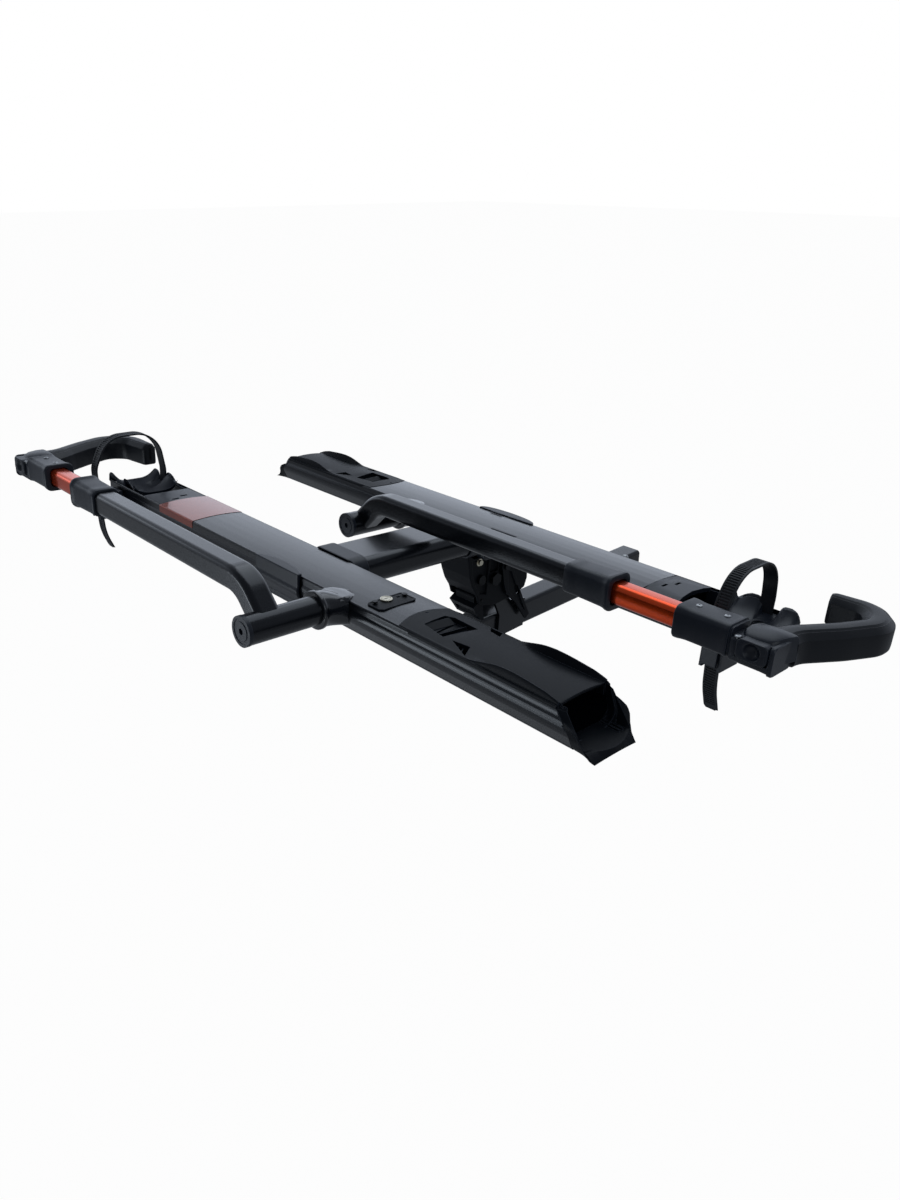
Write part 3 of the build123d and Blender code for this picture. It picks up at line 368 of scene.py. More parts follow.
def prism(outline, z0, z1, draft=0.0):
    """An upright block from its outline in plan, narrowing upwards by a draft."""
    middle = Vector((sum(p[0] for p in outline), sum(p[1] for p in outline))) / len(outline)
    rings = []
    for z, inset in ((z0, 0.0), (z1, draft)):
        rings.append([(*(Vector(p) + (middle - Vector(p)).normalized() * inset), z) for p in outline])
    return loft(rings)


def joined(*meshes):
    """Several meshes as one."""
    form = bmesh.new()
    for mesh in meshes:
        form.from_mesh(mesh)
    made = bpy.data.meshes.new("joined")
    form.to_mesh(made)
    form.free()
    return made


def cut(mesh, *cutters):
    """A mesh with the room of the cutters taken out of it."""
    for each in (mesh, *cutters):
        form = bmesh.new()
        form.from_mesh(each)
        bmesh.ops.recalc_face_normals(form, faces=form.faces)
        form.to_mesh(each)
        form.free()
    piece = link_object("blank", mesh)
    tools = [link_object("cutter", each) for each in cutters]
    for tool in tools:
        step = piece.modifiers.new("cut", "BOOLEAN")
        step.operation = "DIFFERENCE"
        step.solver = "EXACT"
        step.object = tool
    made = shaped(piece)
    for tool in tools:
        bpy.data.objects.remove(tool)
    return made


def lens(x0, x1, inner, bulge, low, high):
    """A flat lens along x, straight on its inner edge, with a rounded top edge."""
    middle = (x0 + x1) / 2

    def ring(shrink, z):
        half = (x1 - x0) / 2 - shrink
        deep = bulge - shrink * math.copysign(1, bulge)
        arc = [(middle + half * math.cos(a), inner + deep * math.sin(a) ** 0.8, z)
               for a in (math.pi * k / 20 for k in range(21))]
        return arc + [(middle + half * end, inner - 0.06 * bulge, z) for end in (-0.4, 0.4)]

    return loft([ring(0, low), ring(0, high - 0.9), ring(0.3, high - 0.3), ring(EAR_EDGE, high)])


# Satin blue-black, a little lighter and glossier than the housing's nylon. Its edges are paled
# a little, partly as wear and partly as a painted highlight.
satin_nylon = finish("satin_moulded_nylon", "#151B25", "#0F141C", 0.38, 0.0011, 0.000006, wear_and_highlight="#59616D",
                     edge_paling=0.8, specular=0.42, ior=1.45)
step_off = prism(STEP_PLAN, -2.2, 12)
step_off.transform(sides["far"])
seat("near_moulded_saddle", softened("near_saddle", SADDLE_KEEP), satin_nylon, "rack",
     ["near_saddle"], NO_CREASE)
seat("far_moulded_saddle", cut(softened("far_saddle", SADDLE_KEEP), step_off), satin_nylon, "rack",
     ["far_saddle"], NO_CREASE)
seat("far_saddle_ears", joined(lens(-86, 49, 44, 20, -3, 3.4), lens(-50, 50, -43, -16, -3, 3.2)), satin_nylon,
     "rack", [], 60, sides["far"])
dress(black_oxide, "near_saddle_screws", "far_saddle_screws")


# Wheel trays: extruded aluminium, powder coated, with their open end cut at a slant that
# the scoop's nose carries on. A short nylon clamping tab with round ends stands on the
# far tray beside its saddle.
TRAY_END_CUT = [(552, 20), (552, 1), (578, -29), (578, -80), (640, -80), (640, 20)]
TAB_EDGE = 1.0


def pill(x0, x1, y, half, low, high):
    """A flat bar with round ends and a rounded top edge, laid along x."""
    def ring(size, z):
        ends = [(x1 - half, 0), (x0 + half, 180)]
        return [(x + size * math.cos(math.radians(t + a)), y + size * math.sin(math.radians(t + a)), z)
                for x, t in ends for a in range(-90, 91, 15)]

    return loft([ring(half, low), ring(half, high - 0.8), ring(half - 0.3, high - 0.25),
                 ring(half - TAB_EDGE, high)])


for side, place in sides.items():
    tray_end = loft([[(x, y, z) for x, z in TRAY_END_CUT] for y in (-70, 70)])
    tray_end.transform(place)
    seat(side + "_extruded_tray", cut(nodes[side + "_tray"].data.copy(), tray_end), powder_coat, "rack",
         [side + "_tray"], 25)
seat("far_clamp_tab", pill(-118, -54, -30, 6.5, -1.0, 2.4), nylon, "rack", [], 60, sides["far"])

# Coloured band on the near tray: thin aluminium, anodised deep orange and lacquered.
# Dull orange metal under a clear gloss.
lacquered_orange = finish("lacquered_orange", "#8E3010", "#7A2A0E", 0.3, 0.0012, 0.00001, metallic=0.8, coat=1.0,
                          edge=0)
dress(lacquered_orange, "near_band")


# Scoops for the front wheels: black glass-filled nylon, injection moulded and pushed into
# the open end of each tray, where they make the ramp, its two cheeks and the hollow nose.
TRAY_INSIDE = [(20, 47.1), (-31, 47.1), (-46, 39.2), (-48.8, 37)]
TRAY_OUTSIDE = [(20, 50.4), (-11, 50.4), (-21, 52.4), (-31, 50.4), (-46, 42.6), (-50, 40.4), (-52.1, 36.2)]
CHEEK_TOP = [
    (262, 1.0), (400, 1.0), (412, 2.6), (428, 6.5), (445, 11), (460, 13.4), (480, 14.4), (505, 12.8), (534, 10),
    (548, 7), (557, 4.4), (563.5, 1.4), (566.5, -1.6), (570, -7), (576, -15), (593, -36), (600, -44), (620, -54),
]
NOSE_SHOULDER = [
    (566, -4), (569, -9.5), (575, -13), (581, -15.5), (588, -20.5), (592, -26), (596, -37), (600, -49),
]
DECK_START = 262.3
DECK_FOOT = 41.6
DECK_UNDER = -16.0
DECK_STATIONS = [
    DECK_START, 268, 276, 290, 310, 330, 349.5, 352, 370, 388, 400, 408, 416, 424, 432, 440, 448, 456, 466, 473.9,
    474.1, 490, 505, 520, 534, 541, 547, 551, 553.6, 554.4,
]
TUNNEL_STATIONS = (551, 556, 561, 563.4, 565.2, 566.2, 566.9)
NOSE_START = 566.9
NOSE_STEPS = 12
NOSE_UNDER = -52.1
NOSE_UNDER_HALF = 36.2
TUNNEL_FLOOR = -44.0
TUNNEL_TURN = 20
SCOOP_POCKETS = [  # plan, floor and top
    ([(296, -21), (293, 21), (306, 28), (353, 26), (341, -28)], -4.5, 20),
    ([(356, -26), (386, -22), (397, -43)], -12, 20),
    ([(358, 46), (366, 37), (386, 33), (380, 46)], -5, 20),
    ([(314, -22), (318, -23), (312, 22), (308, 22)], -14, 0),
]
POCKET_WEBS = [  # start, end and the height at both, between the first pocket's walls
    (296, 309, 2.2, -3.4), (319, 331, -3.8, 0.8),
]
SCOOP_SCREW = (271, 7)


def between(table, x):
    """A value read off a table of points, in line between its neighbours."""
    table = sorted(table)
    if x <= table[0][0]:
        return table[0][1]
    for (x0, y0), (x1, y1) in zip(table, table[1:]):
        if x <= x1:
            return y0 + (y1 - y0) * (x - x0) / (x1 - x0)
    return table[-1][1]


def skin(outer, inner):
    """A closed wall between two grids of points, joined at all rims."""
    rows, count = len(outer), len(outer[0])
    points = [tuple(p) for grid in (outer, inner) for row in grid for p in row]
    size = rows * count
    faces = []
    for base in (0, size):
        for i in range(rows - 1):
            for j in range(count - 1):
                a = base + i * count + j
                faces.append((a, a + 1, a + count + 1, a + count))
    for i in (0, rows - 1):
        for j in range(count - 1):
            a = i * count + j
            faces.append((a, a + 1, a + 1 + size, a + size))
    for i in range(rows - 1):
        for j in (0, count - 1):
            a = i * count + j
            faces.append((a, a + count, a + count + size, a + size))
    mesh = bpy.data.meshes.new("skin")
    mesh.from_pydata(points, [], faces)
    return mesh


def circle(centre, radius, count):
    """Even points on a circle in plan."""
    return [(centre[0] + radius * math.cos(a), centre[1] + radius * math.sin(a))
            for a in (2 * math.pi * k / count for k in range(count))]


def deck_height(x, y):
    """The scoop's floor: a crowned plateau, and past its step a lower crowned run."""
    return 4.1 - 2.6 * (y / 47) ** 2 if x < 351 else 4.6 - 3.0 * (y / 42) ** 2


def scoop_deck():
    """The scoop's top with its flanges and cheeks, from its bowed start to the tray's end."""
    rings = []
    for x in DECK_STATIONS:
        cheek = between(CHEEK_TOP, x)
        bow = max(0.0, 1 - (x - DECK_START) / 60)
        drop = 0.8 if x > 554 else 0.0
        rim = 50.5 if x > 277 else 47.1
        side = [
            (46.9, DECK_UNDER), (46.9, -3), (rim, -3), (rim, -0.4), (rim - 0.2, 0.6), (min(rim, 49.4), 1.3),
            (47.2, 1.6), (47.1, max(cheek - 1.1, 1.7)), (46.3, max(cheek, 1.8)), (44.9, max(cheek - 0.1, 1.7)),
        ]
        top = [(y, deck_height(x, y) - drop) for y in (DECK_FOOT, 33, 22, 11, 0, -11, -22, -33, -DECK_FOOT)]
        if x > 400:
            blend = min(1.0, (x - 400) / 30)
            top[0] = (DECK_FOOT, deck_height(x, DECK_FOOT) * blend + (1 - blend) * cheek)
            top[-1] = (-DECK_FOOT, top[0][1])
        under = [(-y, DECK_UNDER if x < 474 or abs(y) > 42 else deck_height(x, y) - 3.4)
                 for y in (42.5, 41.9, 22, 0, -22, -41.9, -42.5)]
        ring = side + top + [(-y, z) for y, z in reversed(side)] + under
        rings.append([(x + 12 * bow * (y / 47) ** 2, y, z) for y, z in ring])
    return loft(rings)


def across(side, floor, half):
    """A line of 25 points: down one side, over the floor in even steps and up the other side."""
    flat = [(half * (1 - 2 * k / 8), floor) for k in range(1, 8)]
    return side + flat + [(-y, z) for y, z in reversed(side)]


def flared(k):
    """The half width of the tunnel's mouth, a little narrower at its foot."""
    return 44.4 - 2.4 * (k / 8) ** 3


def tunnel_lines(x):
    """The nose's outer and inner line where it starts, at the slant of the tray's end."""
    cheek = between(CHEEK_TOP, x)
    last = x == NOSE_START
    table, foot = (TRAY_OUTSIDE, NOSE_UNDER) if last else (TRAY_INSIDE, -48.8)
    heights = [cheek + (foot - cheek) * k / 8 for k in range(9)]
    flank = [(between(table, z), z) for z in heights]
    flank[0] = (flank[0][0] - 0.7, cheek)
    line = across(flank, foot, NOSE_UNDER_HALF)
    slant = sorted((z, x) for x, z in TRAY_END_CUT[1:3])
    behind = 0 if last else 0.02 * (567 - x)
    outer = [(between(slant, z) + 0.5 - behind, y, z) for y, z in line]
    if x > 566:
        top = cheek - 1
        line = across([(flared(k), top + (-43.9 - top) * k / 8) for k in range(9)], TUNNEL_FLOOR, 38)
    else:
        wall = 44.6 if x < 563 else 41.6
        top, bottom = cheek - 0.2, TUNNEL_TURN + TUNNEL_FLOOR
        straight = [(wall, top + (bottom - top) * k / 4) for k in range(4)]
        arc = [(wall - TUNNEL_TURN + TUNNEL_TURN * math.cos(a), bottom - TUNNEL_TURN * math.sin(a))
               for a in (math.radians(22.5 * k) for k in range(5))]
        line = across(straight + arc, TUNNEL_FLOOR, wall - TUNNEL_TURN)
    inner = [(x + 11.0 * min(1.0, max(0.0, (-4 - z) / 25)), y, z) for y, z in line]
    return outer, inner


def nose_shell():
    """The hollow nose, from inside the tray's end forward and down to its open lip."""
    grids = [tunnel_lines(x) for x in TUNNEL_STATIONS]
    outer, inner = [grid[0] for grid in grids], [grid[1] for grid in grids]
    start_out, start_in = grids[-1]
    for step in range(1, NOSE_STEPS + 1):
        t = step / NOSE_STEPS
        row_out, row_in = [], []
        shoulder = between(NOSE_SHOULDER, NOSE_START + (598 - NOSE_START) * t)
        brow = between(CHEEK_TOP, NOSE_START + (599.5 - NOSE_START) * t)
        for i, ((x, y, _), (inner_x, inner_y, _)) in enumerate(zip(start_out, start_in)):
            k = min(i, 24 - i)
            flank = k <= 8
            share = min(k, 8) / 8
            end = 597.5 + 16 * share ** 2 if flank else 612.5 + (y / NOSE_UNDER_HALF) ** 2
            z = shoulder + (NOSE_UNDER - shoulder) * share
            half = between(TRAY_OUTSIDE, z) if flank else abs(y)
            if y < 0:
                spread = 8.0 * t ** 2 * max(0.0, 1 - (z - NOSE_UNDER) / 16)
                half += spread * (share if flank else half / NOSE_UNDER_HALF)
            row_out.append((x + (end - x) * t, math.copysign(half, y or 1), z))
            end = 598.5 if flank else 611 - 12.5 * (inner_y / 38) ** 2
            half = flared(k) if flank else abs(inner_y)
            row_in.append((inner_x + (end - inner_x) * t, math.copysign(half, inner_y or 1),
                           brow + (TUNNEL_FLOOR - brow) * share))
        outer.append(row_out)
        inner.append(row_in)
    return skin(outer, inner)


def scoop_mesh():
    """Deck and nose, with the webs in the first pocket, the rungs and ribs, and the screw."""
    pockets = [prism(*pocket) for pocket in SCOOP_POCKETS]
    deck = cut(scoop_deck(), *pockets, prism(circle(SCOOP_SCREW, 2.4, 12), -3, 20))
    webs = [loft([[(x + y / 10, y, z) for x, z in ((x0, -5), (x1, -5), (x1, high1), (x0, high0))]
                  for y in (-20, -8, 8, 24)])
            for x0, x1, high0, high1 in POCKET_WEBS]
    rungs = [prism([(366 + s, -24), (368 + s, -24), (378 + s, -42), (376 + s, -42)], -13, -1) for s in (0, 9)]
    ribs = [prism([(566, y), (594, y), (594, y + 2), (566, y + 2)], -45, -41.2, 0.5) for y in (27, 34)]
    screw = prism(circle(SCOOP_SCREW, 3.4, 12), 2, 3.4)
    return joined(deck, nose_shell(), *webs, *rungs, *ribs, screw)


for side, place in sides.items():
    seat(side + "_scoop_moulding", scoop_mesh(), nylon, "rack", [side + "_scoop"], 40, place)


# Cradles for the rear wheels: nylon, moulded as a flat plate that closes the tray's top,
# and a round-bottomed trough with two rounded ears at each side for the strap to pass.
CRADLE_STATIONS = [
    -505, -507, -509, -511, -514, -518, -522, -526, -530, -535, -540, -545, -547.4, -548.4, -550.4, -552.4, -554,
    -562, -576, -577.4, -579, -581.4, -585, -590, -596, -601, -605, -609, -612,
]
CRADLE_HALF = 46
EAR_NEAR = [
    (-505, 0), (-509, 3.5), (-514, 6), (-520, 9.5), (-526, 14), (-532, 16), (-540, 15.8), (-545, 13.5),
    (-547.4, 8), (-548.4, -6), (-577, -6), (-579, 5), (-581.4, 11), (-587, 14.4), (-596, 15.4), (-604, 14),
    (-609, 9), (-612, -4),
]
EAR_FAR = [
    (-505, -3), (-510, 2), (-516, 7), (-522, 11), (-530, 14.4), (-540, 15), (-547, 13), (-550.4, 9),
    (-552.4, 0), (-553.4, -6), (-576, -6), (-577.4, 0), (-580, 7), (-586, 10.6), (-596, 10.8), (-603, 8.6),
    (-608, 4), (-612, -6),
]
PLATE_PLAN = [
    (-396.4, -30), (-396, 0), (-396.4, 30), (-399, 46.4), (-462, 46.4), (-458, 30), (-455, 0), (-458, -30),
    (-462, -46.4), (-399, -46.4),
]
PLATE_SLOTS = [(-411, -9), (-421, 13)]
RAILS_Y = (-45, 45)


def cradle_mesh():
    """The trough with its ears, the slotted plate before it, and the two rails between them."""
    outer, inner = [], []
    for x in CRADLE_STATIONS:
        deep = -19 + 10 * (-505 - x) / 104
        ridge = 11.0 * max(0.0, 1 - (x + 505) / -5.0) ** 2
        above, below = [], []
        for k in range(25):
            y = CRADLE_HALF * (k - 12) / 12
            rim = between(EAR_NEAR if y < 0 else EAR_FAR, x)
            rise = abs(y / CRADLE_HALF) ** 2.6
            z = deep + ridge + (rim - deep - ridge * (1 - rise)) * rise
            above.append((x, y, z))
            below.append((x, math.copysign(min(abs(y), 43.4), y), min(z - 2.6, z - 2.2 - 1.2 * rise)))
        outer.append(above)
        inner.append(below)
    plate = [[(x, y, z - 2.6 * (y / 47) ** 2 + 2.6) for x, y in PLATE_PLAN] for z in (-6.4, 0.4, 0.9)]
    plate[2] = [(x * 0.998 - 0.86, y * 0.985, z) for x, y, z in plate[2]]
    slots = [prism([(x - 2.6, y - 7), (x + 2.6, y - 7), (x + 2.6, y + 7), (x - 2.6, y + 7)], -9, 20)
             for x, y in PLATE_SLOTS]
    rails = [prism([(-456, y - 1.4), (-456, y + 1.4), (-508, y + 1.4), (-508, y - 1.4)], -24, -2.6)
             for y in RAILS_Y]
    return joined(cut(loft(plate), *slots), skin(outer, inner), *rails)


for side, place in sides.items():
    seat(side + "_moulded_cradle", cradle_mesh(), satin_nylon, "rack", [side + "_cradle"], 35, place)


# Ladder straps that hold the rear wheels down: black elastomer, moulded with two smooth
# rails and close rungs that the nylon buckle's pawl catches. Each starts inside its
# cradle, goes over the wheel's place and hangs free behind the buckle.
STRAP_X = -557.0
STRAP_WIDTH = 23.0
STRAP_THICK = 3.2
STRAP_EDGE = 0.5
STRAP_CORNERS = {
    "near": [(42.4, -17), (43, 22), (30, 98), (-72, 96), (-97, 40), (-95, -30), (-90, -90), (-76, -122)],
    "far": [(42.4, -17), (44, 20), (33, 86), (-74, 84), (-97, 36), (-95, -30), (-89, -92), (-72, -132)],
}
STRAP_RADII = [45, 52, 52, 40, 160, 110]
STRAP_TIP = 6
RUNG_PITCH = 4.2
RUNG_DEEP = 1.5
RUNG_EDGE = 0.12
RUNGS_BEFORE_TOP = 24
PLAIN_END = 10
RAIL = 3.2


def rounded_path(corners, radii, step):
    """Even points, with their directions, along straight runs with rounded corners."""
    corners = [Vector(c) for c in corners]
    line = [corners[0]]
    for before, corner, after, radius in zip(corners, corners[1:], corners[2:], radii):
        d0, d1 = (corner - before).normalized(), (after - corner).normalized()
        bend = d0.angle(d1)
        middle = corner + (d1 - d0).normalized() * (radius / math.cos(bend / 2))
        start = corner - d0 * (radius * math.tan(bend / 2)) - middle
        count = max(3, round(radius * bend / step))
        sense = 1 if d0.x * d1.y - d0.y * d1.x > 0 else -1
        for i in range(count + 1):
            a = sense * bend * i / count
            line.append(middle + Vector((
                start.x * math.cos(a) - start.y * math.sin(a), start.x * math.sin(a) + start.y * math.cos(a),
            )))
    line.append(corners[-1])
    reach = [0.0]
    for p, q in zip(line, line[1:]):
        reach.append(reach[-1] + (q - p).length)
    points, spot = [], 0
    total = round(reach[-1] / step)
    for i in range(total + 1):
        s = reach[-1] * i / total
        while spot < len(line) - 2 and reach[spot + 1] < s:
            spot += 1
        along = line[spot + 1] - line[spot]
        points.append(line[spot] + along * ((s - reach[spot]) / max(along.length, 1e-9)))
    return [(points[i], (points[min(i + 1, total)] - points[max(i - 1, 0)]).normalized())
            for i in range(total + 1)]


def strap_mesh(corners):
    """A strap along its line, with rungs from before its highest point nearly to its round tip."""
    half = STRAP_WIDTH / 2
    lift = STRAP_THICK / 2
    line = rounded_path(corners, STRAP_RADII, RUNG_PITCH / 4)
    top = max(range(len(line)), key=lambda i: line[i][0].y)

    def ring(point, way, deep, pinch=0.0):
        out = Vector((way.y, -way.x))
        face = [
            (-half + pinch, 0.9), (-half + STRAP_EDGE + pinch, lift), (-half + RAIL, lift),
            (-half + RAIL + 0.3, lift - deep), (half - RAIL - 0.3, lift - deep), (half - RAIL, lift),
            (half - STRAP_EDGE - pinch, lift), (half - pinch, 0.9),
            (half, -0.9), (half - STRAP_EDGE, -lift), (-half + STRAP_EDGE, -lift), (-half, -0.9),
        ]
        return [(STRAP_X + x, *(point + out * h)) for x, h in face]

    rings = []
    for i, (point, way) in enumerate(line):
        left = len(line) - 1 - i
        if top - RUNGS_BEFORE_TOP < i < len(line) - PLAIN_END:
            if i % 4 in (0, 2):
                first, second = (0.0, RUNG_DEEP) if i % 4 == 0 else (RUNG_DEEP, 0.0)
                rings += [ring(point - way * RUNG_EDGE, way, first), ring(point + way * RUNG_EDGE, way, second)]
        else:
            tip = 0.0
            if left <= STRAP_TIP:
                tip = STRAP_TIP - math.sqrt(max(0.0, STRAP_TIP ** 2 - (STRAP_TIP - left) ** 2))
            rings.append(ring(point, way, 0.0, tip))
    return loft(rings)


# Dull charcoal, faintly paler in patches at its edges.
elastomer = finish("moulded_elastomer", "#171B20", "#111418", 0.5, 0.0011, 0.00001, wear_and_highlight="#43474C", edge_paling=0.3,
                   specular=0.4, ior=1.45)
for side, place in sides.items():
    seat(side + "_ladder_strap", strap_mesh(STRAP_CORNERS[side]), elastomer, "rack",
         [side + "_strap"], 30, place)
    dress(satin_nylon, side + "_buckle", side + "_buckle_lever")


# Lock plate on the near tray: a thin nylon plate with a raised rim, a turned lock
# cylinder with a bright nickel face, one black screw that shows and two slots beside it.
LOCK_PLATE_PLAN = [(194, -36), (198, -40), (222, -40), (228, -35), (228, 23), (224, 28), (198, 28), (194, 24)]
LOCK_PLATE_MIDDLE = (211, -6)
LOCK_PLATE_HALF = (17, 34)
LOCK_PLATE_STEPS = [  # inset and lift above the tray
    (0, -1.0), (0, 1.9), (0.7, 2.5), (2.2, 2.5), (2.9, 1.7), (12, 1.7),
]
LOCK_PLATE_SLOTS = [(203, 8), (207, 17)]
LOCK_SPOT = (202, -9)
LOCK_PROFILE = [
    (7, -6), (7, 4.6), (9.4, 4.8), (9.4, 6.3), (8.8, 6.9), (7.4, 6.9), (6.8, 6.1), (6.2, 6.1), (5.9, 6.6),
]


def crowned(y):
    """The height of the tray's crowned top."""
    return 3.5 - 2.6 * (y / 47) ** 2


def lathe(profile, centre, count=20):
    """A turned piece about an upright axis from its radii and heights."""
    return loft([[(*p, z) for p in circle(centre, radius, count)] for radius, z in profile])


def lock_plate_mesh():
    """The plate on the tray's crown, with its rim, two slots and the lock's hole."""
    middle = Vector(LOCK_PLATE_MIDDLE)
    rings = []
    for inset, lift in LOCK_PLATE_STEPS:
        shrink = [1 - inset / half for half in LOCK_PLATE_HALF]
        line = [middle + Vector(((x - middle.x) * shrink[0], (y - middle.y) * shrink[1]))
                for x, y in LOCK_PLATE_PLAN]
        rings.append([(p.x, p.y, crowned(p.y) + lift) for p in line])
    slots = [prism([(x, y), (x + 4, y), (x + 4, y + 6), (x, y + 6)], 3, 9) for x, y in LOCK_PLATE_SLOTS]
    return cut(loft(rings), *slots, lathe([(9.6, 0), (9.6, 9)], LOCK_SPOT, 32))


def lock_mesh():
    """The lock's turned face and its keyway."""
    x, y = LOCK_SPOT
    keyway = [(x - 0.8, y - 3.6), (x + 0.8, y - 3.6), (x + 0.8, y + 3.6), (x - 0.8, y + 3.6)]
    return cut(lathe(LOCK_PROFILE, LOCK_SPOT, 32), prism(keyway, 4, 9))


seat("moulded_lock_plate", lock_plate_mesh(), nylon, "rack", ["lock_plate"], 30, sides["near"])
seat("turned_lock", lock_mesh(), nickel, "lock_cylinder", ["lock_cylinder"], 30, sides["near"])
dress(black_oxide, "plate_screws")


# Bosses that carry the hook arms: black die castings bolted to the trays' near sides,
# round where the arm turns, flared to a foot on the tray, with a leaf over its top. The
# pivot shafts through them are black oxide steel.
PIVOT_X = 140.0
PIVOT_Z = -13.0
BOSS_FRONT = [  # distance from the tray's middle, and radius
    (-91.9, 27.6), (-91.5, 28.4), (-90.6, 28.9), (-85.8, 28.9), (-84.9, 28.3), (-84.5, 27.2), (-82, 26.9),
]
BOSS_NECK_Y, BOSS_NECK = BOSS_FRONT[-1]
BOSS_FOOT_WIDE = 29.5
BOSS_FOOT_HIGH = 20.0
BOSS_FOOT_LOW = 27.5
BOSS_POINTS = 48
BOSS_STEPS = 10
TRAY_SIDE_FOOT = -46
LEAF_TOP = [(-84, 8), (-77, 8.4), (-66, 7.4), (-54, 6.4), (-44, 5.6), (-28, 5.2)]
LEAF_UNDER = [(-84, -4), (-54, -4), (-50.2, 0), (-46, 1), (-28, 2)]


def boss_mesh():
    """The round front of a boss, blended back to a square foot on the tray's side."""
    rings = [[(x, y, z) for x, z in circle((PIVOT_X, PIVOT_Z), radius, BOSS_POINTS)] for y, radius in BOSS_FRONT]
    for step in range(1, BOSS_STEPS + 1):
        t = step / BOSS_STEPS
        blend = t ** 1.6
        ring = []
        for c, s in circle((0, 0), 1, BOSS_POINTS):
            square = (abs(c) ** 4 + abs(s) ** 4) ** 0.25
            foot_x = BOSS_FOOT_WIDE * c / square
            foot_z = (BOSS_FOOT_HIGH if s > 0 else BOSS_FOOT_LOW) * s / square - 2
            x = BOSS_NECK * c * (1 - blend) + foot_x * blend
            z = PIVOT_Z + BOSS_NECK * s * (1 - blend) + foot_z * blend
            back = -between(TRAY_OUTSIDE, max(z, TRAY_SIDE_FOOT)) - 0.35
            ring.append((PIVOT_X + x, BOSS_NECK_Y + (back - BOSS_NECK_Y) * t, z))
        rings.append(ring)
    return loft(rings)


def boss_leaf_mesh():
    """The thin leaf that runs from a boss's top over the tray's edge."""
    outer, inner = [], []
    for i in range(21):
        u = -1 + i / 10
        bow = max(0.0, 1 - abs(u) ** 2.4)
        front = 27 * (1 - bow ** 0.6)
        row_out, row_in = [], []
        for j in range(9):
            t = j / 8
            x = PIVOT_X + 1 + 27 * u
            y = -77 + front + (27 + 24 * bow ** 0.8 - front) * t
            top = between(LEAF_TOP, y)
            edge = min(1.0, (1 - t) * 5 + 0.1) * min(1.0, t * 5 + 0.2) * min(1.0, (1 - abs(u)) * 6 + 0.1)
            under = min(top - 0.5, between(LEAF_UNDER, y))
            row_out.append((x, y, under + (top - under) * edge))
            row_in.append((x, y, under - 0.05))
        outer.append(row_out)
        inner.append(row_in)
    return skin(outer, inner)


# Glossy and nearly black, with sharp small highlights and the orange peel of a sprayed
# enamel.
boss_enamel = finish("gloss_enamelled_die_casting", "#0B0F16", "#070A10", 0.22, 0.0013, 0.00001, metallic=0.15,
                     coat=0.8, coat_roughness=0.08, edge=0, ior=1.45)
for side, place in sides.items():
    seat(side + "_boss_casting", joined(boss_mesh(), boss_leaf_mesh()), boss_enamel, "rack",
         [side + "_boss"], 40, place)
    dress(black_oxide, side + "_pivot_shaft")


# Hook arms: bent steel tubes on their pivot tubes, powder coated like the rest of the
# frame, with a nylon cap pressed into the open end of each pivot tube.
for side in sides:
    dress(powder_coat, side + "_arm")
    dress(satin_nylon, side + "_end_cap")


# Collars that guide the slide tubes: nylon sleeves pressed over the arms' ends, drawn out
# to a rounded bell where the slide tube comes out.
ARM_Y = -168.5
ARM_Z = 36.0
COLLAR = [  # place along the arm, half width and corner radius
    (-350, 21.6, 8), (-350.5, 22.8, 10), (-351.6, 23.3, 11), (-362, 23.4, 11), (-368, 23, 10), (-372, 22.8, 10),
    (-380, 23.2, 10), (-402, 23.8, 11), (-418, 24.4, 12), (-424.5, 25.3, 13), (-427.6, 26.6, 14),
    (-431, 27, 14.5), (-433.2, 26.4, 14), (-434, 24.8, 13),
]
COLLAR_BORES = [(-436, -424, 18.6, 9), (-425, -400, 16.1, 8), (-402, -349, 19.2, 9)]


def square_ring(x, half_y, half_z, radius, middle_z=ARM_Z):
    """A rounded rectangle of 28 points square to the arm."""
    ring = []
    for quarter, (sy, sz) in enumerate([(1, 1), (-1, 1), (-1, -1), (1, -1)]):
        for k in range(7):
            a = math.pi / 2 * (quarter + k / 6)
            ring.append((x, ARM_Y + sy * (half_y - radius) + radius * math.cos(a),
                         middle_z + sz * (half_z - radius) + radius * math.sin(a)))
    return ring


def square_bore(x0, x1, half, radius):
    """The room of a square bore along the arm."""
    return loft([square_ring(x, half, half, radius) for x in (x0, x1)])


for side, place in sides.items():
    sleeve = loft([square_ring(x, half, half, radius) for x, half, radius in COLLAR])
    seat(side + "_moulded_collar", cut(sleeve, *[square_bore(*bore) for bore in COLLAR_BORES]), satin_nylon,
         side + "_arm", [side + "_collar"], 30, place)


# Slide tubes: square drawn aluminium with round corners, anodised bright orange, running
# from inside the arm into the head.
SLIDE_TUBE = [(-604.9, 15), (-604.4, 15.7), (-156.6, 15.7), (-156.1, 15)]
SLIDE_CORNER = 8.2
# Bright orange metal with the die's fine lines along it, drawn 0.8 mm apart.
anodised = finish("orange_anodised_aluminium", "#E8501A", "#D84616", 0.24, 0.0008, 0.000001, metallic=0.9,
                  coat=0.5, stretch=(0.02, 1, 1), spread=0.03, edge=0)
for side, place in sides.items():
    tube = loft([square_ring(x, half, half, SLIDE_CORNER) for x, half in SLIDE_TUBE])
    seat(side + "_drawn_slide_tube", cut(tube, square_bore(-606, -155, 13.1, 6)), anodised, side + "_slide",
         [side + "_slide_tube"], 30, place)


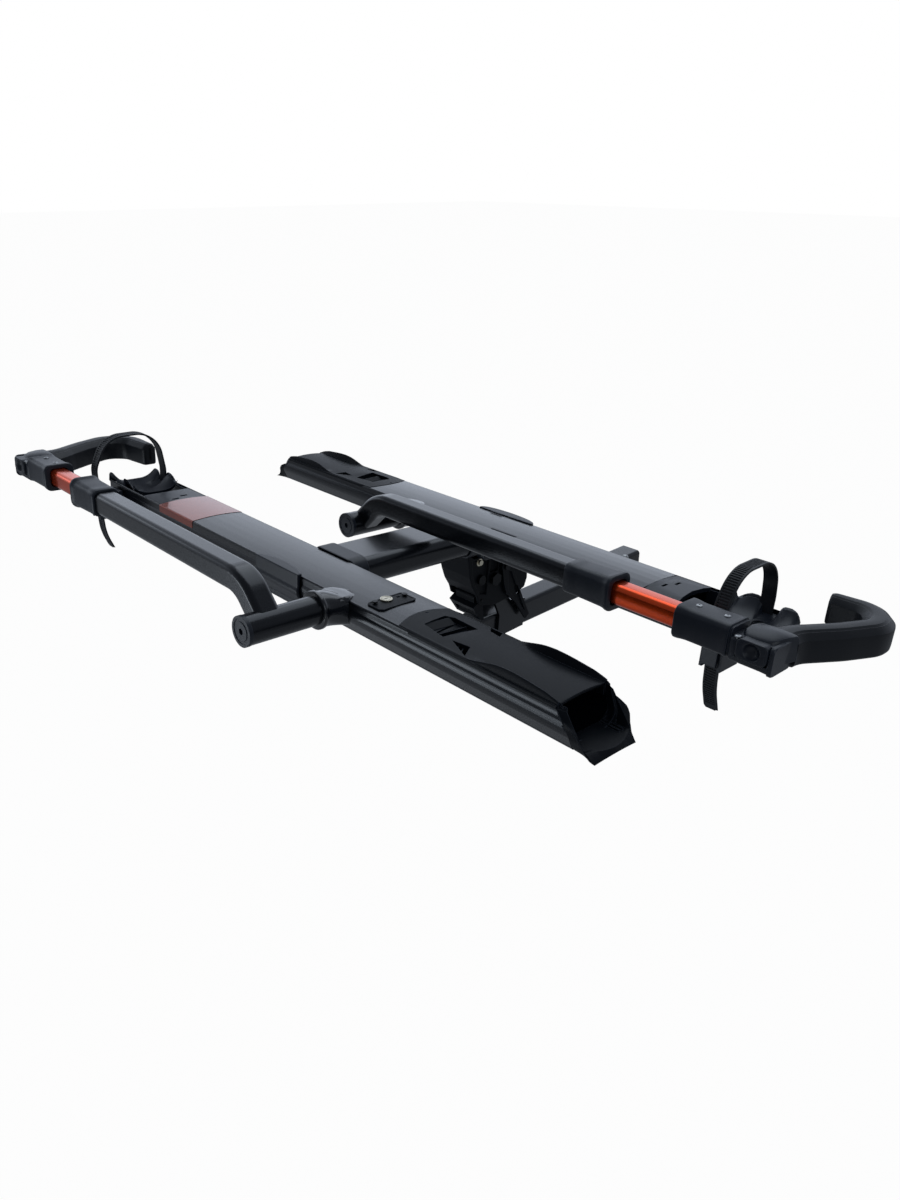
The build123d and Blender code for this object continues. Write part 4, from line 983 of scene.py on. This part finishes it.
# Heads of the hook arms: satin nylon, moulded as a sleeve on the slide tube, a block
# behind it with a square pocket for the trigger, and a flange where the hook starts. Three
# zinc-plated pan heads hold each: two over the slide tube and one beside the trigger.
SLEEVE = [  # place along the arm, half width, half height and corner radius
    (-541, 24.4, 21.6, 10), (-541.6, 26.2, 23.4, 11), (-543, 27.2, 24.4, 12), (-548, 27.2, 24.4, 12),
    (-554, 26, 23.2, 10), (-562, 25.2, 22.4, 9), (-600, 25, 22.2, 8), (-617, 25.3, 22.5, 8),
    (-620.4, 26, 23.2, 8.5), (-622, 25.6, 22.8, 8), (-622.6, 23.2, 20.4, 7), (-625.4, 23.2, 20.4, 7),
]
BLOCK = [
    (-624.6, 23, 16, 7), (-626, 24.6, 17.6, 7), (-628, 25.4, 18.2, 7), (-670, 25.4, 18.4, 7),
    (-680.4, 25.8, 18.8, 7), (-681.2, 27.4, 20.4, 8), (-685.4, 27.4, 20.4, 8), (-687, 26.4, 19.4, 8),
]
BLOCK_Z = 30
FLANGE = [  # place across the arm, both edges along it, and the top
    (-187, -643, -668, 46.6), (-186, -639, -672, 49), (-181, -635, -678, 53), (-171, -631, -683, 55.6),
    (-156, -630, -687, 56.4), (-142, -633, -690, 55.6), (-139, -636, -691, 54.4),
]
TRIGGER_POCKET = [(-680, 21.4), (-635.4, 21.4), (-635.4, 60), (-680, 60)]
PAN_HEAD = [(2, -8), (2, -0.6), (4.4, -0.5), (4.4, 0.6), (3.9, 1.3), (2.6, 1.7)]
HEAD_SCREWS = [(-561, ARM_Y + 2, 58.3), (-603, ARM_Y + 2, 58.3), (-634, -191, 48.2)]


def head_mesh():
    """Sleeve, block with its pocket, and flange."""
    sleeve = cut(loft([square_ring(*row) for row in SLEEVE]), square_bore(-560, -530, 17.2, 8))
    pocket = loft([[(x, y, z) for x, z in TRIGGER_POCKET] for y in (-204, -187.6)])
    block = cut(loft([square_ring(*row, middle_z=BLOCK_Z) for row in BLOCK]), pocket)
    flange = []
    for y, x0, x1, top in FLANGE:
        line = [
            (x0 + 1, 20), (x0, 40), (x0 - 0.6, top - 6), (x0 - 3, top - 1.8), (x0 - 7, top - 0.3),
            ((x0 + x1) / 2, top + 0.6), (x1 + 7, top - 0.3), (x1 + 3, top - 1.8), (x1 + 0.6, top - 6), (x1, 40),
            (x1 - 1, 20),
        ]
        flange.append([(x, y, z) for x, z in line])
    return joined(sleeve, block, loft(flange))


def head_screw_mesh():
    """The three pan heads, each with a six-sided dish."""
    heads = []
    for x, y, z in HEAD_SCREWS:
        dish = lathe([(1.7, z + 0.5), (1.7, z + 4)], (x, y), 6)
        heads.append(cut(lathe([(radius, z + lift) for radius, lift in PAN_HEAD], (x, y)), dish))
    return joined(*heads)


for side, place in sides.items():
    seat(side + "_moulded_head", head_mesh(), satin_nylon, side + "_slide", [side + "_hook_head"], 30,
         place)
    seat(side + "_pan_head_screws", head_screw_mesh(), zinc, side + "_slide", [side + "_hook_screws"],
         30, place)
    seat(side + "_moulded_trigger", softened(side + "_trigger"), satin_nylon, side + "_trigger",
         [side + "_trigger"], NO_CREASE)


# The hook that pulls down on the front wheel is a bent black steel bar in a thick rubber
# pad, moulded over it with a bevelled shoulder, a groove inside it and a slightly crowned
# top. It is round at the tip and ends square against the head.
HOOK_CORNERS = [(-668, -172), (-670, -120), (-707, -58), (-737, 8), (-706, 50)]
HOOK_TIP = {"near": (-638, 53), "far": (-656, 47)}
HOOK_RADII = [70, 190, 46, 36]
HOOK_STEP = 3.0
HOOK_MIDDLE = 32.0
HOOK_THINNED = 24
HOOK_ROUND = 9
PAD_START = -139.5
PAD_PROFILE = [
    (-14, 9.2), (-18.6, 10.2), (-20.6, 13), (-21, 18), (-21, 41), (-20.6, 43.4), (-13.4, 50.8), (-12.4, 51.4),
    (-11.4, 51.0), (-10.8, 51.3), (-8, 53.2), (0, 54.4), (8, 53.2), (10.8, 51.3), (11.4, 51.0), (12.4, 51.4),
    (13.4, 50.8), (20.6, 43.4), (21, 41), (21, 18), (20.6, 13), (18.6, 10.2), (14, 9.2),
]
BAR_START = -168
BAR_PROFILE = [(-10, 18), (-10, 46), (10, 46), (10, 18)]


def hook_mesh(tip, profile, start, slim, flare):
    """A bent bar of a profile of widths and heights, flared at the neck and slimmed at the tip."""
    line = [(p, w) for p, w in rounded_path([*HOOK_CORNERS, tip], HOOK_RADII, HOOK_STEP) if p.y > start]

    def ring(point, way, size, sink):
        left = Vector((-way.y, way.x))
        neck = flare * max(0.0, (-96 - point.y) / 44) ** 1.6
        places = [point + left * w * (size + (0.05 if w > 0 else 0.62) * neck) for w, z in profile]
        return [(p.x, p.y, HOOK_MIDDLE + (z - HOOK_MIDDLE) * sink) for p, (w, z) in zip(places, profile)]

    first, way = line[0]
    rings = [ring(first, way, 0.94, 0.96)]
    for i, (point, way) in enumerate(line):
        near_tip = max(0.0, 1 - (len(line) - 1 - i) / HOOK_THINNED)
        rings.append(ring(point, way, 1.0 - slim * near_tip ** 1.3, 1.0))
    end, way = line[-1]
    for degrees in (15, 30, 45, 60, 72, 82):
        a = math.radians(degrees)
        rings.append(ring(end + way * (HOOK_ROUND * math.sin(a)), way, (1 - slim) * math.cos(a) ** 0.4,
                          1 - 0.12 * (1 - math.cos(a))))
    return loft(rings)


# Matte charcoal with broad faint highlights.
rubber = finish("soft_rubber", "#12151A", "#0D1014", 0.42, 0.001, 0.00003, specular=0.3, ior=1.45)
for side, place in sides.items():
    pad = seat(side + "_hook_rubber", hook_mesh(HOOK_TIP[side], PAD_PROFILE, PAD_START, 0.3, 1.0), rubber,
               side + "_slide", [side + "_hook_pad"], 24, place)
    seat(side + "_hook_bar", hook_mesh(HOOK_TIP[side], BAR_PROFILE, BAR_START, 0.55, 0.0), black_oxide,
         side + "_slide", [side + "_hook_core"], 24, place)
